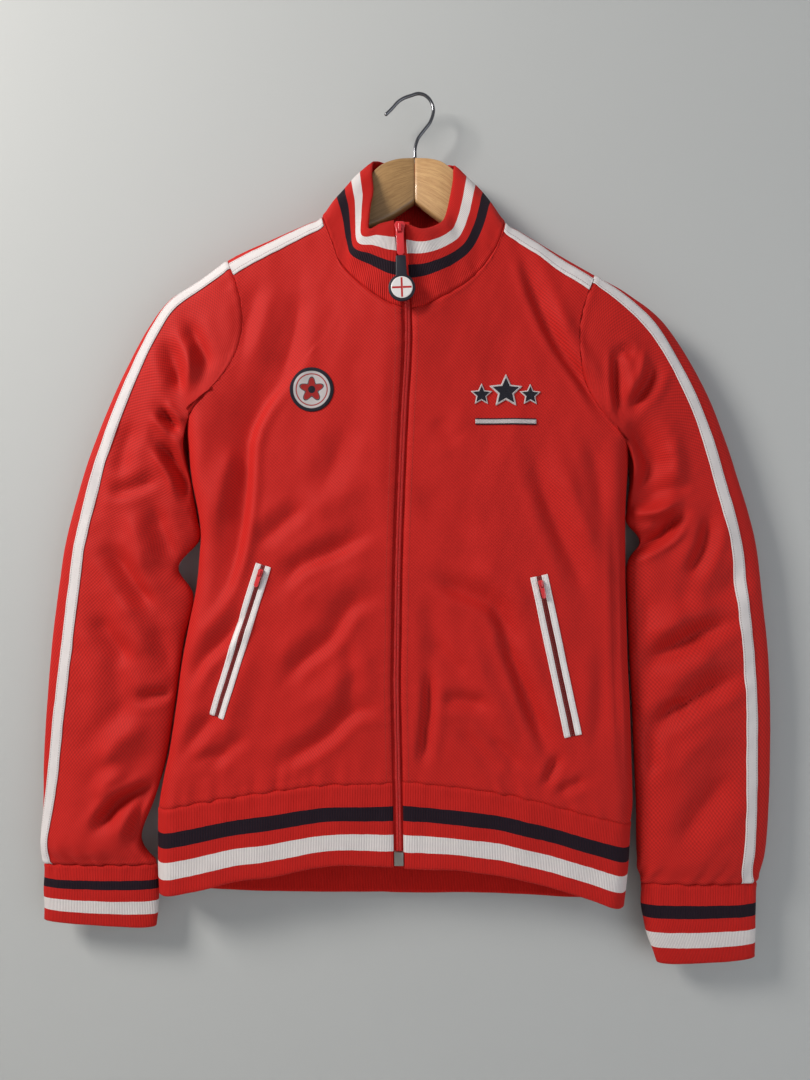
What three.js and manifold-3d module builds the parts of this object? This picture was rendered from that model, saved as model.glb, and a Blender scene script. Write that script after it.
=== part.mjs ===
// Zip-front track jacket on a wooden hanger, hung by the hanger's hook.
// Millimetres. +X is the viewer's right, +Y points away from the viewer, +Z is up.
// The origin is where the hook bears: the underside of its wire, on the centre plane.
// "left" and "right" are the viewer's, seen from the front.

import * as THREE from "three";
import Module from "manifold-3d";

const wasm = await Module();
wasm.setup();

// Cloth
const WALL = 1.6; // double knit of fronts, back and sleeves
const RIB_WALL = 2.2; // folded rib of collar, cuffs and hem
const SEAM_GAP = 0.3; // between pieces that are sewn edge to edge
const TAPE_LIFT = 0.5; // tapes, welts and badges, over the faces of the panel
const ROUND_LIFT = 0.8; // the same where the cloth is round
const TAPE_WIDTH = 12;
const SHOULDER_TAPE_WIDTH = 14;
const TAPE_THICK = 0.8;

// Body form
const SHOULDER_ROUND = 26; // radius over the shoulders
const SIDE_ROUND = 24; // radius at the side folds
const FRONT_DEPTH = 27; // of the front at the sides, forward of the hook's plane
const FRONT_CROWN = 7;
const NECK_CROWN = 11;
const BACK_DEPTH = 11;
const BACK_CROWN = 4;
const HALF_WIDTH = 230;
const LEVEL_DROP = 6; // of the front edge's armpit level
const NECK_MIDDLE_Y = -18;
const COLLAR_HEIGHT = 82;
const COLLAR_SWELL = 3;
const COLLAR_START = 0.9; // along the collar, which leaves the seam at a slant
const HEM_SEAM_Z = -720; // at the zip
const HEM_HEIGHT = 86;
const ARMPIT_FLARE = 0.6; // how fast the form opens above the armpit
const ARMPIT_V = 0.6; // share of a panel's height below the armpit
const FRONT_NECK_U = 0.5; // share of a front's top edge that is neck seam
const BACK_NECK = { from: 0.27, to: 0.73 };
const SECTION_POWER = 2.4; // sleeve sections are superellipses of this power

// Hanger
const HANGER_X = 4; // its centre, seen from the front
const ARM_FORWARD = 12; // how far the arms curve to the front
const ARM_CURVE = 70;
const ARM_HALF_THICK = 6.5;
const ARM_LENGTH = 215;
const TIP_ROUND = 6; // drop and length of the rounded tips
const TIP_LENGTH = 12;
const ARM_CROWN = { head: 3, arm: 10 }; // how round the wood's top edge is
const WIRE = 3.6;

// Front zip
const HALF_ZIP = 6; // half of what shows between the front edges
const CHAIN_HALF = 2.8;
const CHAIN_FRONT = 0.6; // how far the chain's face lies behind the cloth's face
const CHAIN_THICK = 3.2;
const ZIP_TAPE = { from: 3.1, to: 10, behind: 3.2, thick: 0.8 };
const ZIP_FOOT = -804.5;
const SLIDER = { width: 10.8, height: 14, above: 6.8, front: 4, behind: 2, top: -152.8 };
const BRIDGE = { width: 3, half: 4.2, leg: 1, rise: 3.8, under: 2.6 };
const PULL_TAB = { width: 7.4, length: 27.7, thick: 1.6, hole: 4.4, bar: 0.8, holeEnd: 5.6 };
const GRIP = { width: 11, thick: 3.2, radius: 13.4, discDrop: 60 };
const PULL_TILT = 0.035; // the pull hangs a little askew
const FACE = { radius: 10.8, thick: 0.6 };
const ZIP_BOX = { width: 9.4, height: 14, thick: 3.6, proud: 1 };

const SHOULDER = [
  // x, z of the shoulder line, over the collar too
  [-262, -228], [-252, -218], [-234, -207.5], [-218, -197], [-187, -176], [-142, -155],
  [-106, -139], [-93.5, -133.2], [-60, -95], [-41, -72], [0, -50], [46, -75], [70, -103],
  [98.5, -139], [112, -147], [125, -155], [160, -176], [191, -193.5], [219, -208],
  [234, -218], [250, -228.5], [262, -239],
];
const CENTRE = [
  // z, x of the zip's centre line
  [-860, -12.2], [-806, -12.6], [-757, -13.3], [-685, -14.6], [-617, -15.8], [-575, -15.2],
  [-490, -13.8], [-409, -11], [-333, -7.6], [-276, -4.3], [-231, -4.7], [-190, -10.9], [-150, -11.7],
];
const COLLAR_TOP = [
  // w, x, y, z: w runs 0 to 1 along the left front, 1 to 2 behind, 2 to 3 along the right front
  [0, -17.8, -51, -151], [0.3, -31, -50, -153], [0.5, -44, -46, -156], [0.62, -43, -34, -130],
  [0.8, -40, -22, -104], [0.9, -41.5, -17, -86], [1, -41, -5, -70], [1.25, -26, 12, -66],
  [1.5, 3, 16, -65], [1.75, 32, 12, -69], [2, 46, -5, -74], [2.1, 45, -17, -87],
  [2.2, 42, -22, -108], [2.38, 36, -31, -137],
  [2.55, 30, -39, -148], [2.78, 12, -49, -158], [3, -5.6, -51, -154],
];
const BACK_NECK_LINE = [
  [-93.5, -133.2], [-76, -143], [-45, -150.5], [3, -154], [50, -154], [80, -148], [98.5, -139],
];
const SIDES = {
  left: {
    sign: -1,
    armTop: -191,
    armpit: [-239, -338],
    bow: 40,
    hemFold: [-266, -749.5], // x, z of the hem seam and of the hem's edge at the side fold
    hemFoot: [-266, -840],
    side: [
      // z, x of the side fold and the hem's fold
      [-842, -266], [-795, -266.5], [-750, -266], [-721, -261.5], [-690, -255], [-640, -247.5],
      [-605, -243], [-560, -235], [-520, -227], [-480, -223], [-464, -222], [-445, -224],
      [-406, -231.5], [-375, -235], [-352, -237.5], [-338, -239],
    ],
    neck: [
      [-10.8, -235], [-24.9, -229.7], [-41.3, -218.7], [-57.7, -204.4], [-72.8, -187],
      [-81.6, -164], [-93.5, -133.2],
    ],
    hemTop: [
      [-266, -749.5], [-229.7, -743.3], [-193.7, -736.2], [-159, -731.4], [-121.6, -725.8],
      [-84.5, -722], [-38.3, -721], [-8, -719],
    ],
    hemBottom: [
      [-266, -840], [-225, -832], [-181, -821], [-145, -816.5], [-121.6, -811.6], [-100.4, -807],
      [-73.8, -804], [-38.3, -805], [-6, -806.5],
    ],
    sleeve: [
      // outer edge x, z; inner edge x, z; bow; half depth front, back; middle y
      [-191, -178.8, -239, -338, 40, 20, 20, -11],
      [-218, -197, -240.5, -350, 34, 20, 20, -10],
      [-252, -218, -240, -362, 26, 20, 19, -8],
      [-276, -247, -238.5, -376, 18, 19, 18, -6],
      [-299, -288, -235.5, -396, 10, 18, 16, -4],
      [-320, -332, -231.5, -418, 5, 17, 15, -2],
      [-341, -385, -226.5, -446, 2, 16, 14, -1],
      [-355, -430, -224.5, -470, 0, 15, 13, 0],
      [-366, -474, -247, -499, 0, 15, 13, 0],
      [-373, -520, -231, -530, 0, 15, 13, 0],
      [-380, -575, -241.5, -580, 0, 14, 13, 0],
      [-385.5, -640, -250, -640, 0, 14, 12, 0],
      [-389, -700, -259.5, -700, 0, 14, 12, 0],
      [-389.5, -748, -272, -744, 0, 15, 12, 0],
      [-391, -790, -286, -785, 0, 18, 12, 0],
      [-388, -811, -269.5, -811.5, 0, 11, 10, 0],
    ],
    cuff: [
      // outer edge x, z; inner edge x, z; half depth
      [-388, -811.5, -269.3, -812.4, 10],
      [-389, -840, -268, -843, 10.5],
      [-388.5, -871, -270, -878.5, 9.5],
    ],
    tape: [
      // row of the sleeve's sections, distance of the tape's middle from the outer edge
      [0, 7.5], [2, 9], [3.6, 13], [6.4, 17], [9.8, 20], [11.2, 17], [12.2, 14], [13.2, 8],
      [14.2, 4], [15, 4],
    ],
  },
  right: {
    sign: 1,
    armTop: 191,
    armpit: [230, -371],
    bow: 37,
    hemFold: [232.3, -764.8],
    hemFoot: [225, -853.6],
    side: [
      [-855, 225], [-810, 228.8], [-765, 232.3], [-745, 234], [-703, 233], [-640, 231], [-600, 229],
      [-533, 227], [-500, 226.5], [-438, 226.5], [-410, 228], [-385, 229.5], [-371, 230],
    ],
    neck: [
      [1.2, -237], [13.4, -232.8], [29.7, -224.9], [50.6, -212.2], [70.2, -194.8], [87.3, -170],
      [98.5, -139],
    ],
    hemTop: [
      [-18, -718.5], [-1.3, -719], [29.3, -722.5], [65.1, -726.7], [97.4, -731.8], [130, -739.1],
      [154.2, -746.1], [176.9, -752.1], [204, -759.2], [232.3, -764.8],
    ],
    hemBottom: [
      [-20, -806.5], [0.4, -807.6], [44.6, -808.9], [68.5, -811.8], [94, -815.2], [125, -822.6],
      [151, -829], [186, -840.5], [214.6, -851], [225, -853.6],
    ],
    sleeve: [
      [191, -193.5, 230, -371, 37, 20, 20, -11],
      [219, -208, 232.5, -381, 32, 20, 20, -10],
      [250, -228.5, 233.5, -391, 25, 20, 19, -8],
      [270, -247, 233, -402, 18, 19, 18, -6],
      [292, -279, 231.8, -414, 10, 18, 16, -4],
      [315, -321, 230.3, -425, 5, 17, 15, -2],
      [334, -369, 229, -438, 2, 16, 14, -1],
      [347, -408, 229, -452, 0, 15, 13, 0],
      [357, -440, 243, -472, 0, 15, 13, 0],
      [366, -478, 229.5, -495, 0, 15, 13, 0],
      [372, -530, 229.8, -540, 0, 15, 13, 0],
      [378, -585, 231.5, -590, 0, 14, 13, 0],
      [380.6, -640, 234.2, -640, 0, 14, 12, 0],
      [380.6, -695, 236.5, -697, 0, 14, 12, 0],
      [379, -750, 238.8, -750, 0, 15, 12, 0],
      [375, -800, 239.5, -801, 0, 17, 12, 0],
      [368, -831, 243, -832, 0, 11, 10, 0],
    ],
    cuff: [
      [366, -831.5, 244, -832.5, 10],
      [364.7, -870, 247, -872, 10.5],
      [364.7, -911, 260.5, -917, 9.5],
    ],
    tape: [
      [0, 7.5], [1.2, 12], [2.4, 17], [4, 21.5], [6.2, 23], [9, 25], [10.6, 25], [12, 24],
      [14, 23], [15.3, 21], [16, 14],
    ],
  },
};
const BACK_HEM_TOP = [[-266, -749.5], [-170, -758], [0, -763], [170, -768], [232.3, -764.8]];
const BACK_HEM_BOTTOM = [
  [-266, -840], [-173, -846], [-22, -849], [96, -849.5], [182, -853.5], [225, -853.6],
];

// Largest folds: a line from (x0, z0) to (x1, z1), its half width and its depth; minus stands proud
const BODY_FOLDS = [
  { x0: -117, z0: -192, x1: -165, z1: -358, width: 17, depth: 4 },
  { x0: 122, z0: -190, x1: 175, z1: -310, width: 16, depth: 4 },
  { x0: -155, z0: -476, x1: -222, z1: -607, width: 15, depth: 5 },
  { x0: -118, z0: -498, x1: -149, z1: -528, width: 12, depth: 3 },
  { x0: -114, z0: -623, x1: -32, z1: -572, width: 22, depth: 4 },
  { x0: 101, z0: -596, x1: 141, z1: -685, width: 17, depth: 5 },
  { x0: 151, z0: -475, x1: 166, z1: -505, width: 13, depth: 3 },
  { x0: 130, z0: -368, x1: 90, z1: -398, width: 20, depth: 3 },
  { x0: 152, z0: -705, x1: 203, z1: -725, width: 11, depth: 4 },
  { x0: 190, z0: -395, x1: 120, z1: -470, width: 20, depth: -4 },
  { x0: -200, z0: -400, x1: -130, z1: -470, width: 20, depth: -4 },
];
const BACK_FOLDS = [
  { x0: -150, z0: -210, x1: -185, z1: -360, width: 18, depth: -4 },
  { x0: 150, z0: -225, x1: 185, z1: -370, width: 18, depth: -4 },
  { x0: -200, z0: -470, x1: -70, z1: -560, width: 22, depth: -4 },
  { x0: 190, z0: -520, x1: 60, z1: -640, width: 22, depth: -4 },
  { x0: -60, z0: -250, x1: 70, z1: -262, width: 24, depth: -3 },
];
const SLEEVE_FOLDS = {
  left: [
    { x0: -224, z0: -240, x1: -204, z1: -300, width: 8, depth: 7 },
    { x0: -262, z0: -332, x1: -236, z1: -352, width: 8, depth: 6 },
    { x0: -330, z0: -466, x1: -288, z1: -530, width: 13, depth: 6 },
    { x0: -336, z0: -548, x1: -302, z1: -600, width: 12, depth: 4 },
    { x0: -292, z0: -628, x1: -258, z1: -634, width: 10, depth: 6 },
    { x0: -276, z0: -728, x1: -350, z1: -782, width: 10, depth: 10 },
    { x0: -326, z0: -780, x1: -336, z1: -806, width: 7, depth: 5 },
    { x0: -300, z0: -690, x1: -372, z1: -745, width: 14, depth: -4 },
  ],
  right: [
    { x0: 214, z0: -270, x1: 214, z1: -345, width: 8, depth: 8 },
    { x0: 256, z0: -285, x1: 226, z1: -345, width: 10, depth: 5 },
    { x0: 284, z0: -436, x1: 236, z1: -458, width: 9, depth: 9 },
    { x0: 315, z0: -446, x1: 290, z1: -502, width: 11, depth: 5 },
    { x0: 340, z0: -550, x1: 242, z1: -612, width: 12, depth: 6 },
    { x0: 346, z0: -612, x1: 268, z1: -676, width: 12, depth: 5 },
    { x0: 342, z0: -728, x1: 280, z1: -798, width: 12, depth: 6 },
    { x0: 300, z0: -470, x1: 256, z1: -540, width: 16, depth: -4 },
  ],
};

const POCKETS = {
  left: { top: [-151.5, -496], bottom: [-200, -651.5], welt: 5.6, gap: 4.6 },
  right: { top: [130.5, -507], bottom: [166, -671], welt: 6.2, gap: 5.4 },
};
const WELT_THICK = 1.2;
const POCKET_ZIP_THICK = 0.9;
const POCKET_SLIDER = { width: 5.6, height: 8.5, above: 4, thick: 2, from: 8 };
const POCKET_BRIDGE = { width: 1.8, half: 2.7, leg: 0.7, rise: 2.5, under: 1.7 };
const POCKET_PULL = { width: 4.4, length: 15, thick: 1, hole: 2.6, bar: 0.5, holeEnd: 3.8 };
const PATCH = { x: -101.5, z: -316.5, radius: 22, thick: 1.2 };
const STARS = [
  { name: "star_left", x: 71.5, z: -322, radius: 11.5 },
  { name: "star_middle", x: 96.5, z: -318.5, radius: 18 },
  { name: "star_right", x: 121.5, z: -322, radius: 11.5 },
];
const STAR_THICK = 1.2;
const STAR_INNER = 0.46;
const BAR = { x: 96.5, z: -349, length: 62, height: 6, thick: 1.0 };

const HOOK = [
  // x, z of the wire's middle line, from the hanger up and over to its open tip
  [4.2, -65.2], [4.4, -54], [7.4, -44], [13.5, -35.5], [20.5, -26], [23.8, -14], [21, -4.2],
  [15, 2], [7.8, 3.9], [0, 1.8], [-7.8, -1], [-13.8, -5], [-20.8, -12.6], [-27.8, -19.4],
];
// Over the distance from the hanger's middle: z of the head's top and of the underside, and how
// far the wood lies under the shoulder line, more where the collar and the sleeve heads are
const HEAD_TOP = [[0, -65.6], [20, -68.5], [38, -77], [60, -100.5], [80, -121], [100, -133]];
const ARM_BOTTOM = [[0, -113], [32, -136], [94, -165], [150, -188], [200, -208], [215, -212]];
const WOOD_CLEAR = [[0, 6.6], [60, 6.6], [95, 6.6], [125, 2.6], [160, 2.6], [180, 3.9], [215, 3.9]];

const COLOUR = {
  red: 0xc92a22, rib: 0xcc2d26, navy: 0x14121f, white: 0xe8e2e0, zip: 0xa81c1c,
  gloss: 0xd01f2a, metal: 0x8d8a86, wood: 0xd0a878, wire: 0x9a9a98,
};

// Small helpers
const vec = (x, y, z) => new THREE.Vector3(x, y, z);
const mix = (a, b, t) => a + (b - a) * t;
const clamp = (t) => Math.min(1, Math.max(0, t));
const ease = (t) => clamp(t) ** 2 * (3 - 2 * clamp(t));
// Height of a quarter round of radius r at distance d from its edge, as a share of the whole
const roundRise = (d, r) => Math.sqrt(1 - (1 - clamp(d / r)) ** 2);

// Smooth curve through rows [key, value, ...] in order of key
function curveOf(rows) {
  const slope = rows.map((row, i) => {
    const a = rows[Math.max(0, i - 1)];
    const b = rows[Math.min(rows.length - 1, i + 1)];
    return row.map((_, c) => (b[c] - a[c]) / (b[0] - a[0]));
  });
  return (key) => {
    let i = rows.findIndex((row) => row[0] > key) - 1;
    if (i === -2) i = rows.length - 2;
    i = Math.max(0, i);
    const h = rows[i + 1][0] - rows[i][0];
    const t = clamp((key - rows[i][0]) / h);
    const [t2, t3] = [t * t, t * t * t];
    return rows[i].slice(1).map((value, c) => {
      const [m0, m1] = [slope[i][c + 1], slope[i + 1][c + 1]];
      const next = rows[i + 1][c + 1];
      return (2 * t3 - 3 * t2 + 1) * value + (t3 - 2 * t2 + t) * h * m0
        + (3 * t2 - 2 * t3) * next + (t3 - t2) * h * m1;
    });
  };
}

// The same through points, with the share of their length from 0 to 1 as the key
function pathOf(points) {
  let length = 0;
  const keyed = points.map((p, i) => {
    if (i) length += Math.hypot(...p.map((value, c) => value - points[i - 1][c]));
    return [length, ...p];
  });
  const curve = curveOf(keyed);
  return (share) => curve(share * length);
}

// The same for rows of [key, value], giving the value alone
function valueOf(rows) {
  const curve = curveOf(rows);
  return (key) => curve(key)[0];
}

const shoulderZ = valueOf(SHOULDER);
const centreX = valueOf(CENTRE);
for (const side of Object.values(SIDES)) {
  side.sideCurve = valueOf(side.side);
  side.neckPath = pathOf(side.neck);
  side.hemTopCurve = valueOf(side.hemTop);
  side.hemBottomCurve = valueOf(side.hemBottom);
  side.rows = side.sleeve.length - 1;
  side.sleeveCurve = curveOf(side.sleeve.map((row, i) => [i, ...row]));
  side.cuffCurve = curveOf(side.cuff.map((row, i) => [i, ...row]));
  side.tapeCurve = valueOf(side.tape);
}

// Side fold of the body; above the armpit the form runs on out into the sleeve
function sideX(side, z) {
  const [x, armpitZ] = side.armpit;
  if (z > armpitZ) return x + side.sign * ARMPIT_FLARE * (z - armpitZ);
  return side.sideCurve(z);
}

const ridgeY = (x) => -ARM_FORWARD * (1 - Math.exp(-Math.abs(x - HANGER_X) / ARM_CURVE));
const middleY = (x, z) => ridgeY(x) * (1 - ease((shoulderZ(x) - z) / 120));

// 0 at the shoulder line and the side folds, 1 over the flat of the body
function fullness(x, z) {
  return roundRise(shoulderZ(x) - z, SHOULDER_ROUND)
    * roundRise(x - sideX(SIDES.left, z), SIDE_ROUND)
    * roundRise(sideX(SIDES.right, z) - x, SIDE_ROUND);
}

function foldDepth(folds, x, z) {
  let depth = 0;
  for (const fold of folds) {
    const [dx, dz] = [fold.x1 - fold.x0, fold.z1 - fold.z0];
    const along = ((x - fold.x0) * dx + (z - fold.z0) * dz) / (dx * dx + dz * dz);
    const across = Math.hypot(x - fold.x0 - dx * clamp(along), z - fold.z0 - dz * clamp(along));
    const taper = Math.sin(Math.PI * clamp(0.15 + 0.7 * along));
    depth += fold.depth * taper * Math.exp(-((across / fold.width) ** 2));
  }
  return depth;
}

function frontDepth(x, z) {
  const crown = FRONT_CROWN * (1 - (x / HALF_WIDTH) ** 2) * (1 - 0.8 * ease((-500 - z) / 220));
  const neck = NECK_CROWN * Math.exp(-(((x + 5) / 75) ** 2) - ((z + 235) / 70) ** 2);
  return FRONT_DEPTH + crown + neck;
}

const backDepth = (x) => BACK_DEPTH + BACK_CROWN * (1 - (x / HALF_WIDTH) ** 2);

function frontY(x, z) {
  const full = fullness(x, z);
  const nearZip = ease((Math.abs(x - centreX(z)) - HALF_ZIP) / 30);
  const fold = foldDepth(BODY_FOLDS, x, z) * nearZip;
  return middleY(x, z) * (1 - full) + (fold - frontDepth(x, z)) * full;
}

function backY(x, z) {
  const full = fullness(x, z);
  return middleY(x, z) * (1 - full) + (backDepth(x) - foldDepth(BACK_FOLDS, x, z)) * full;
}

// Armhole seam in X and Z: q runs 0 at the shoulder to 1 at the armpit
function armholeAt(side, q) {
  const [x0, z0] = [side.armTop, shoulderZ(side.armTop)];
  const [x1, z1] = side.armpit;
  return bowed([x0, z0], [x1, z1], side.bow, side.sign, q);
}

function bowed([x0, z0], [x1, z1], bow, sign, q) {
  const [dx, dz] = [x1 - x0, z1 - z0];
  const length = Math.hypot(dx, dz);
  const out = bow * 4 * q * (1 - q);
  return [x0 + dx * q + (sign * dz * out) / length, z0 + dz * q - (sign * dx * out) / length];
}

// A patch inside four edge curves, each giving [x, z]
function patchAt({ bottom, top, start, end }, u, v) {
  const [b, t, s, e] = [bottom(u), top(u), start(v), end(v)];
  const corners = [bottom(0), bottom(1), top(0), top(1)];
  return [0, 1].map((c) => (1 - v) * b[c] + v * t[c] + (1 - u) * s[c] + u * e[c]
    - (1 - u) * (1 - v) * corners[0][c] - u * (1 - v) * corners[1][c]
    - (1 - u) * v * corners[2][c] - u * v * corners[3][c]);
}

// Side seam from the hem up to the armpit, then the armhole up to the shoulder
function outerEdge(side, hemZ, v) {
  if (v > ARMPIT_V) return armholeAt(side, 1 - (v - ARMPIT_V) / (1 - ARMPIT_V));
  const z = mix(hemZ, side.armpit[1], v / ARMPIT_V);
  return [sideX(side, z), z];
}

function frontEdges(side) {
  const [foldX, hemZ] = side.hemFold;
  const edgeX = (z) => centreX(z) + side.sign * HALF_ZIP;
  const [neckX, neckZ] = side.neck[0];
  const centreZ = side.hemTopCurve(edgeX(HEM_SEAM_Z));
  const level = side.armpit[1] - LEVEL_DROP;
  return {
    bottom: (u) => {
      const x = mix(edgeX(centreZ), foldX, u);
      return [x, mix(side.hemTopCurve(x), hemZ, ease((u - 0.9) / 0.1))];
    },
    top: (u) => {
      if (u < FRONT_NECK_U) return side.neckPath(u / FRONT_NECK_U);
      const x = mix(side.neck.at(-1)[0], side.armTop, (u - FRONT_NECK_U) / (1 - FRONT_NECK_U));
      return [x, shoulderZ(x)];
    },
    start: (v) => {
      const z = v < ARMPIT_V ? mix(centreZ, level, v / ARMPIT_V)
        : mix(level, neckZ, (v - ARMPIT_V) / (1 - ARMPIT_V));
      return [mix(edgeX(z), neckX, ease((v - 0.9) / 0.1)), z];
    },
    end: (v) => outerEdge(side, hemZ, v),
  };
}

const backHemTop = valueOf(BACK_HEM_TOP);
const backHemBottom = valueOf(BACK_HEM_BOTTOM);
const backNeck = pathOf(BACK_NECK_LINE);

function backEdges() {
  const { left, right } = SIDES;
  const [hemLeft, hemRight] = [BACK_HEM_TOP[0], BACK_HEM_TOP.at(-1)];
  const [neckLeft, neckRight] = [BACK_NECK_LINE[0], BACK_NECK_LINE.at(-1)];
  return {
    bottom: (u) => {
      const x = mix(hemLeft[0], hemRight[0], u);
      return [x, backHemTop(x)];
    },
    top: (u) => {
      const { from, to } = BACK_NECK;
      if (u >= from && u <= to) return backNeck((u - from) / (to - from));
      const x = u < from ? mix(left.armTop, neckLeft[0], u / from)
        : mix(neckRight[0], right.armTop, (u - to) / (1 - to));
      return [x, shoulderZ(x)];
    },
    start: (v) => outerEdge(left, hemLeft[1], v),
    end: (v) => outerEdge(right, hemRight[1], v),
  };
}

// Outer point of a sleeve: r is the row of its sections, q runs outer to inner edge
function sleeveAt(side, r, q, face) {
  const [ox, oz, ix, iz, bow, front, back, middle] = side.sleeveCurve(r);
  const [x, z] = bowed([ox, oz], [ix, iz], bow, side.sign, q);
  const folds = side === SIDES.left ? SLEEVE_FOLDS.left : SLEEVE_FOLDS.right;
  const full = swell(q);
  const fold = foldDepth(folds, x, z) * full * (face < 0 ? 1 : 0.6);
  const own = middle + face * (face < 0 ? front : back) * full - face * fold;
  const body = face < 0 ? frontY(x, z) : backY(x, z);
  return vec(x, mix(body, own, ease(r / 3)), z);
}

const swell = (q) => (1 - Math.abs(1 - 2 * q) ** SECTION_POWER) ** (1 / SECTION_POWER);

function cuffAt(side, r, q, face) {
  const [ox, oz, ix, iz, depth] = side.cuffCurve(r);
  return vec(mix(ox, ix, q), face * depth * swell(q), mix(oz, iz, q));
}

// Neck seam and hem run w from 0 to 3: left front, back, right front
function neckSeam(w) {
  if (w <= 1) return seamPoint(SIDES.left.neckPath(w), frontY);
  if (w >= 2) return seamPoint(SIDES.right.neckPath(3 - w), frontY);
  return seamPoint(backNeck(w - 1), backY);
}

const seamPoint = ([x, z], depthAt) => vec(x, depthAt(x, z), z);
const collarTop = ((curve) => (w) => vec(...curve(w)))(curveOf(COLLAR_TOP));

const fromNeckMiddle = ({ x, y }) => vec(x - HANGER_X, y - NECK_MIDDLE_Y, 0);

function collarAt(w, t) {
  const base = neckSeam(w);
  const top = collarTop(w);
  const point = base.clone().lerp(top, t);
  const swellOut = COLLAR_SWELL * 4 * t * (1 - t);
  const out = fromNeckMiddle(point).normalize();
  return point.addScaledVector(out, swellOut * ease(w / 0.5) * ease((3 - w) / 0.5));
}

function hemAt(w, t) {
  const { left, right } = SIDES;
  const side = w <= 1.5 ? left : right;
  if (w > 1 && w < 2) {
    const topX = mix(left.hemFold[0], right.hemFold[0], w - 1);
    const bottomX = mix(left.hemFoot[0], right.hemFoot[0], w - 1);
    const [x, z] = [mix(topX, bottomX, t), mix(backHemTop(topX), backHemBottom(bottomX), t)];
    return vec(x, backY(x, z), z);
  }
  const u = w <= 1 ? w : 3 - w;
  const [topX, topZ] = frontEdges(side).bottom(u);
  const bottomX = mix(centreX(ZIP_FOOT) + side.sign * HALF_ZIP, side.hemFoot[0], u);
  const bottomZ = side.hemBottomCurve(bottomX);
  const [x, z] = [mix(topX, bottomX, t), mix(topZ, bottomZ, t)];
  return vec(x, frontY(x, z), z);
}

// Meshes
const parts = new THREE.Group();

function finish(colour, roughness = 0.85, metalness = 0) {
  return new THREE.MeshStandardMaterial({ color: colour, roughness, metalness });
}

function addMesh(name, geometry, material) {
  const mesh = new THREE.Mesh(geometry, material);
  mesh.name = name;
  parts.add(mesh);
  return mesh;
}

// A closed wall between two grids of points; "ring" joins the last column to the first
function wallGeometry(outer, inner, ring = false) {
  const [columns, rows] = [outer.length, outer[0].length];
  const points = [...outer.flat(), ...inner.flat()];
  const offset = columns * rows;
  const triangles = [];
  const quad = (a, b, c, d) => triangles.push(a, b, c, a, c, d);
  const spans = ring ? columns : columns - 1;
  for (let i = 0; i < spans; i += 1) {
    const [p, q] = [i * rows, ((i + 1) % columns) * rows];
    for (let j = 0; j < rows - 1; j += 1) {
      quad(p + j, q + j, q + j + 1, p + j + 1);
      quad(offset + p + j, offset + p + j + 1, offset + q + j + 1, offset + q + j);
    }
    quad(p, offset + p, offset + q, q);
    quad(p + rows - 1, q + rows - 1, offset + q + rows - 1, offset + p + rows - 1);
  }
  if (!ring) {
    const last = (columns - 1) * rows;
    for (let j = 0; j < rows - 1; j += 1) {
      quad(j, j + 1, offset + j + 1, offset + j);
      quad(last + j, offset + last + j, offset + last + j + 1, last + j + 1);
    }
  }
  return geometryOf(points, triangles);
}

function geometryOf(points, triangles) {
  let volume = 0;
  for (let i = 0; i < triangles.length; i += 3) {
    const [a, b, c] = [points[triangles[i]], points[triangles[i + 1]], points[triangles[i + 2]]];
    volume += a.dot(b.clone().cross(c));
  }
  const order = volume > 0 ? triangles : triangles.slice().reverse();
  const geometry = new THREE.BufferGeometry();
  const values = points.flatMap((p) => p.toArray());
  geometry.setAttribute("position", new THREE.Float32BufferAttribute(values, 3));
  geometry.setIndex(order);
  return geometry;
}

// Outward normal of a surface by small differences that stay inside [0, uMax] and [0, vMax]
function normalAt(surface, u, v, uMax, vMax, step = 0.002) {
  const [u0, u1] = [Math.max(0, u - step), Math.min(uMax, u + step)];
  const [v0, v1] = [Math.max(0, v - step), Math.min(vMax, v + step)];
  const across = surface(u1, v).sub(surface(u0, v));
  const up = surface(u, v1).sub(surface(u, v0));
  return across.cross(up).normalize();
}

const flatNormal = (n) => n.setY(0).normalize();
const pushed = (point, normal, by) => point.clone().addScaledVector(normal, by);

// Wall of a surface sampled at us and vs; "turn" picks the outer side, "edit" tidies normals
function surfaceGrid(surface, us, vs, turn, edit) {
  return us.map((u) => vs.map((v) => {
    const normal = normalAt(surface, u, v, us.at(-1), vs.at(-1)).multiplyScalar(turn);
    if (edit) edit(normal, u, v);
    return { point: surface(u, v), normal };
  }));
}

function addWall(name, grid, wall, material, ring = false) {
  const outer = grid.map((column) => column.map(({ point }) => point));
  const inner = grid.map((column) => column.map(({ point, normal }) => pushed(point, normal, -wall)));
  return addMesh(name, wallGeometry(outer, inner, ring), material);
}

// A strip that lies on a surface: rows of { point, normal } lifted off it
function addStrip(name, grid, lift, thick, material) {
  const low = grid.map((row) => row.map(({ point, normal }) => pushed(point, normal, lift)));
  const high = grid.map((row) => row.map(({ point, normal }) => pushed(point, normal, lift + thick)));
  return addMesh(name, wallGeometry(high, low), material);
}

const evenly = (count, from = 0, to = 1) =>
  Array.from({ length: count + 1 }, (_, i) => mix(from, to, i / count));

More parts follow.
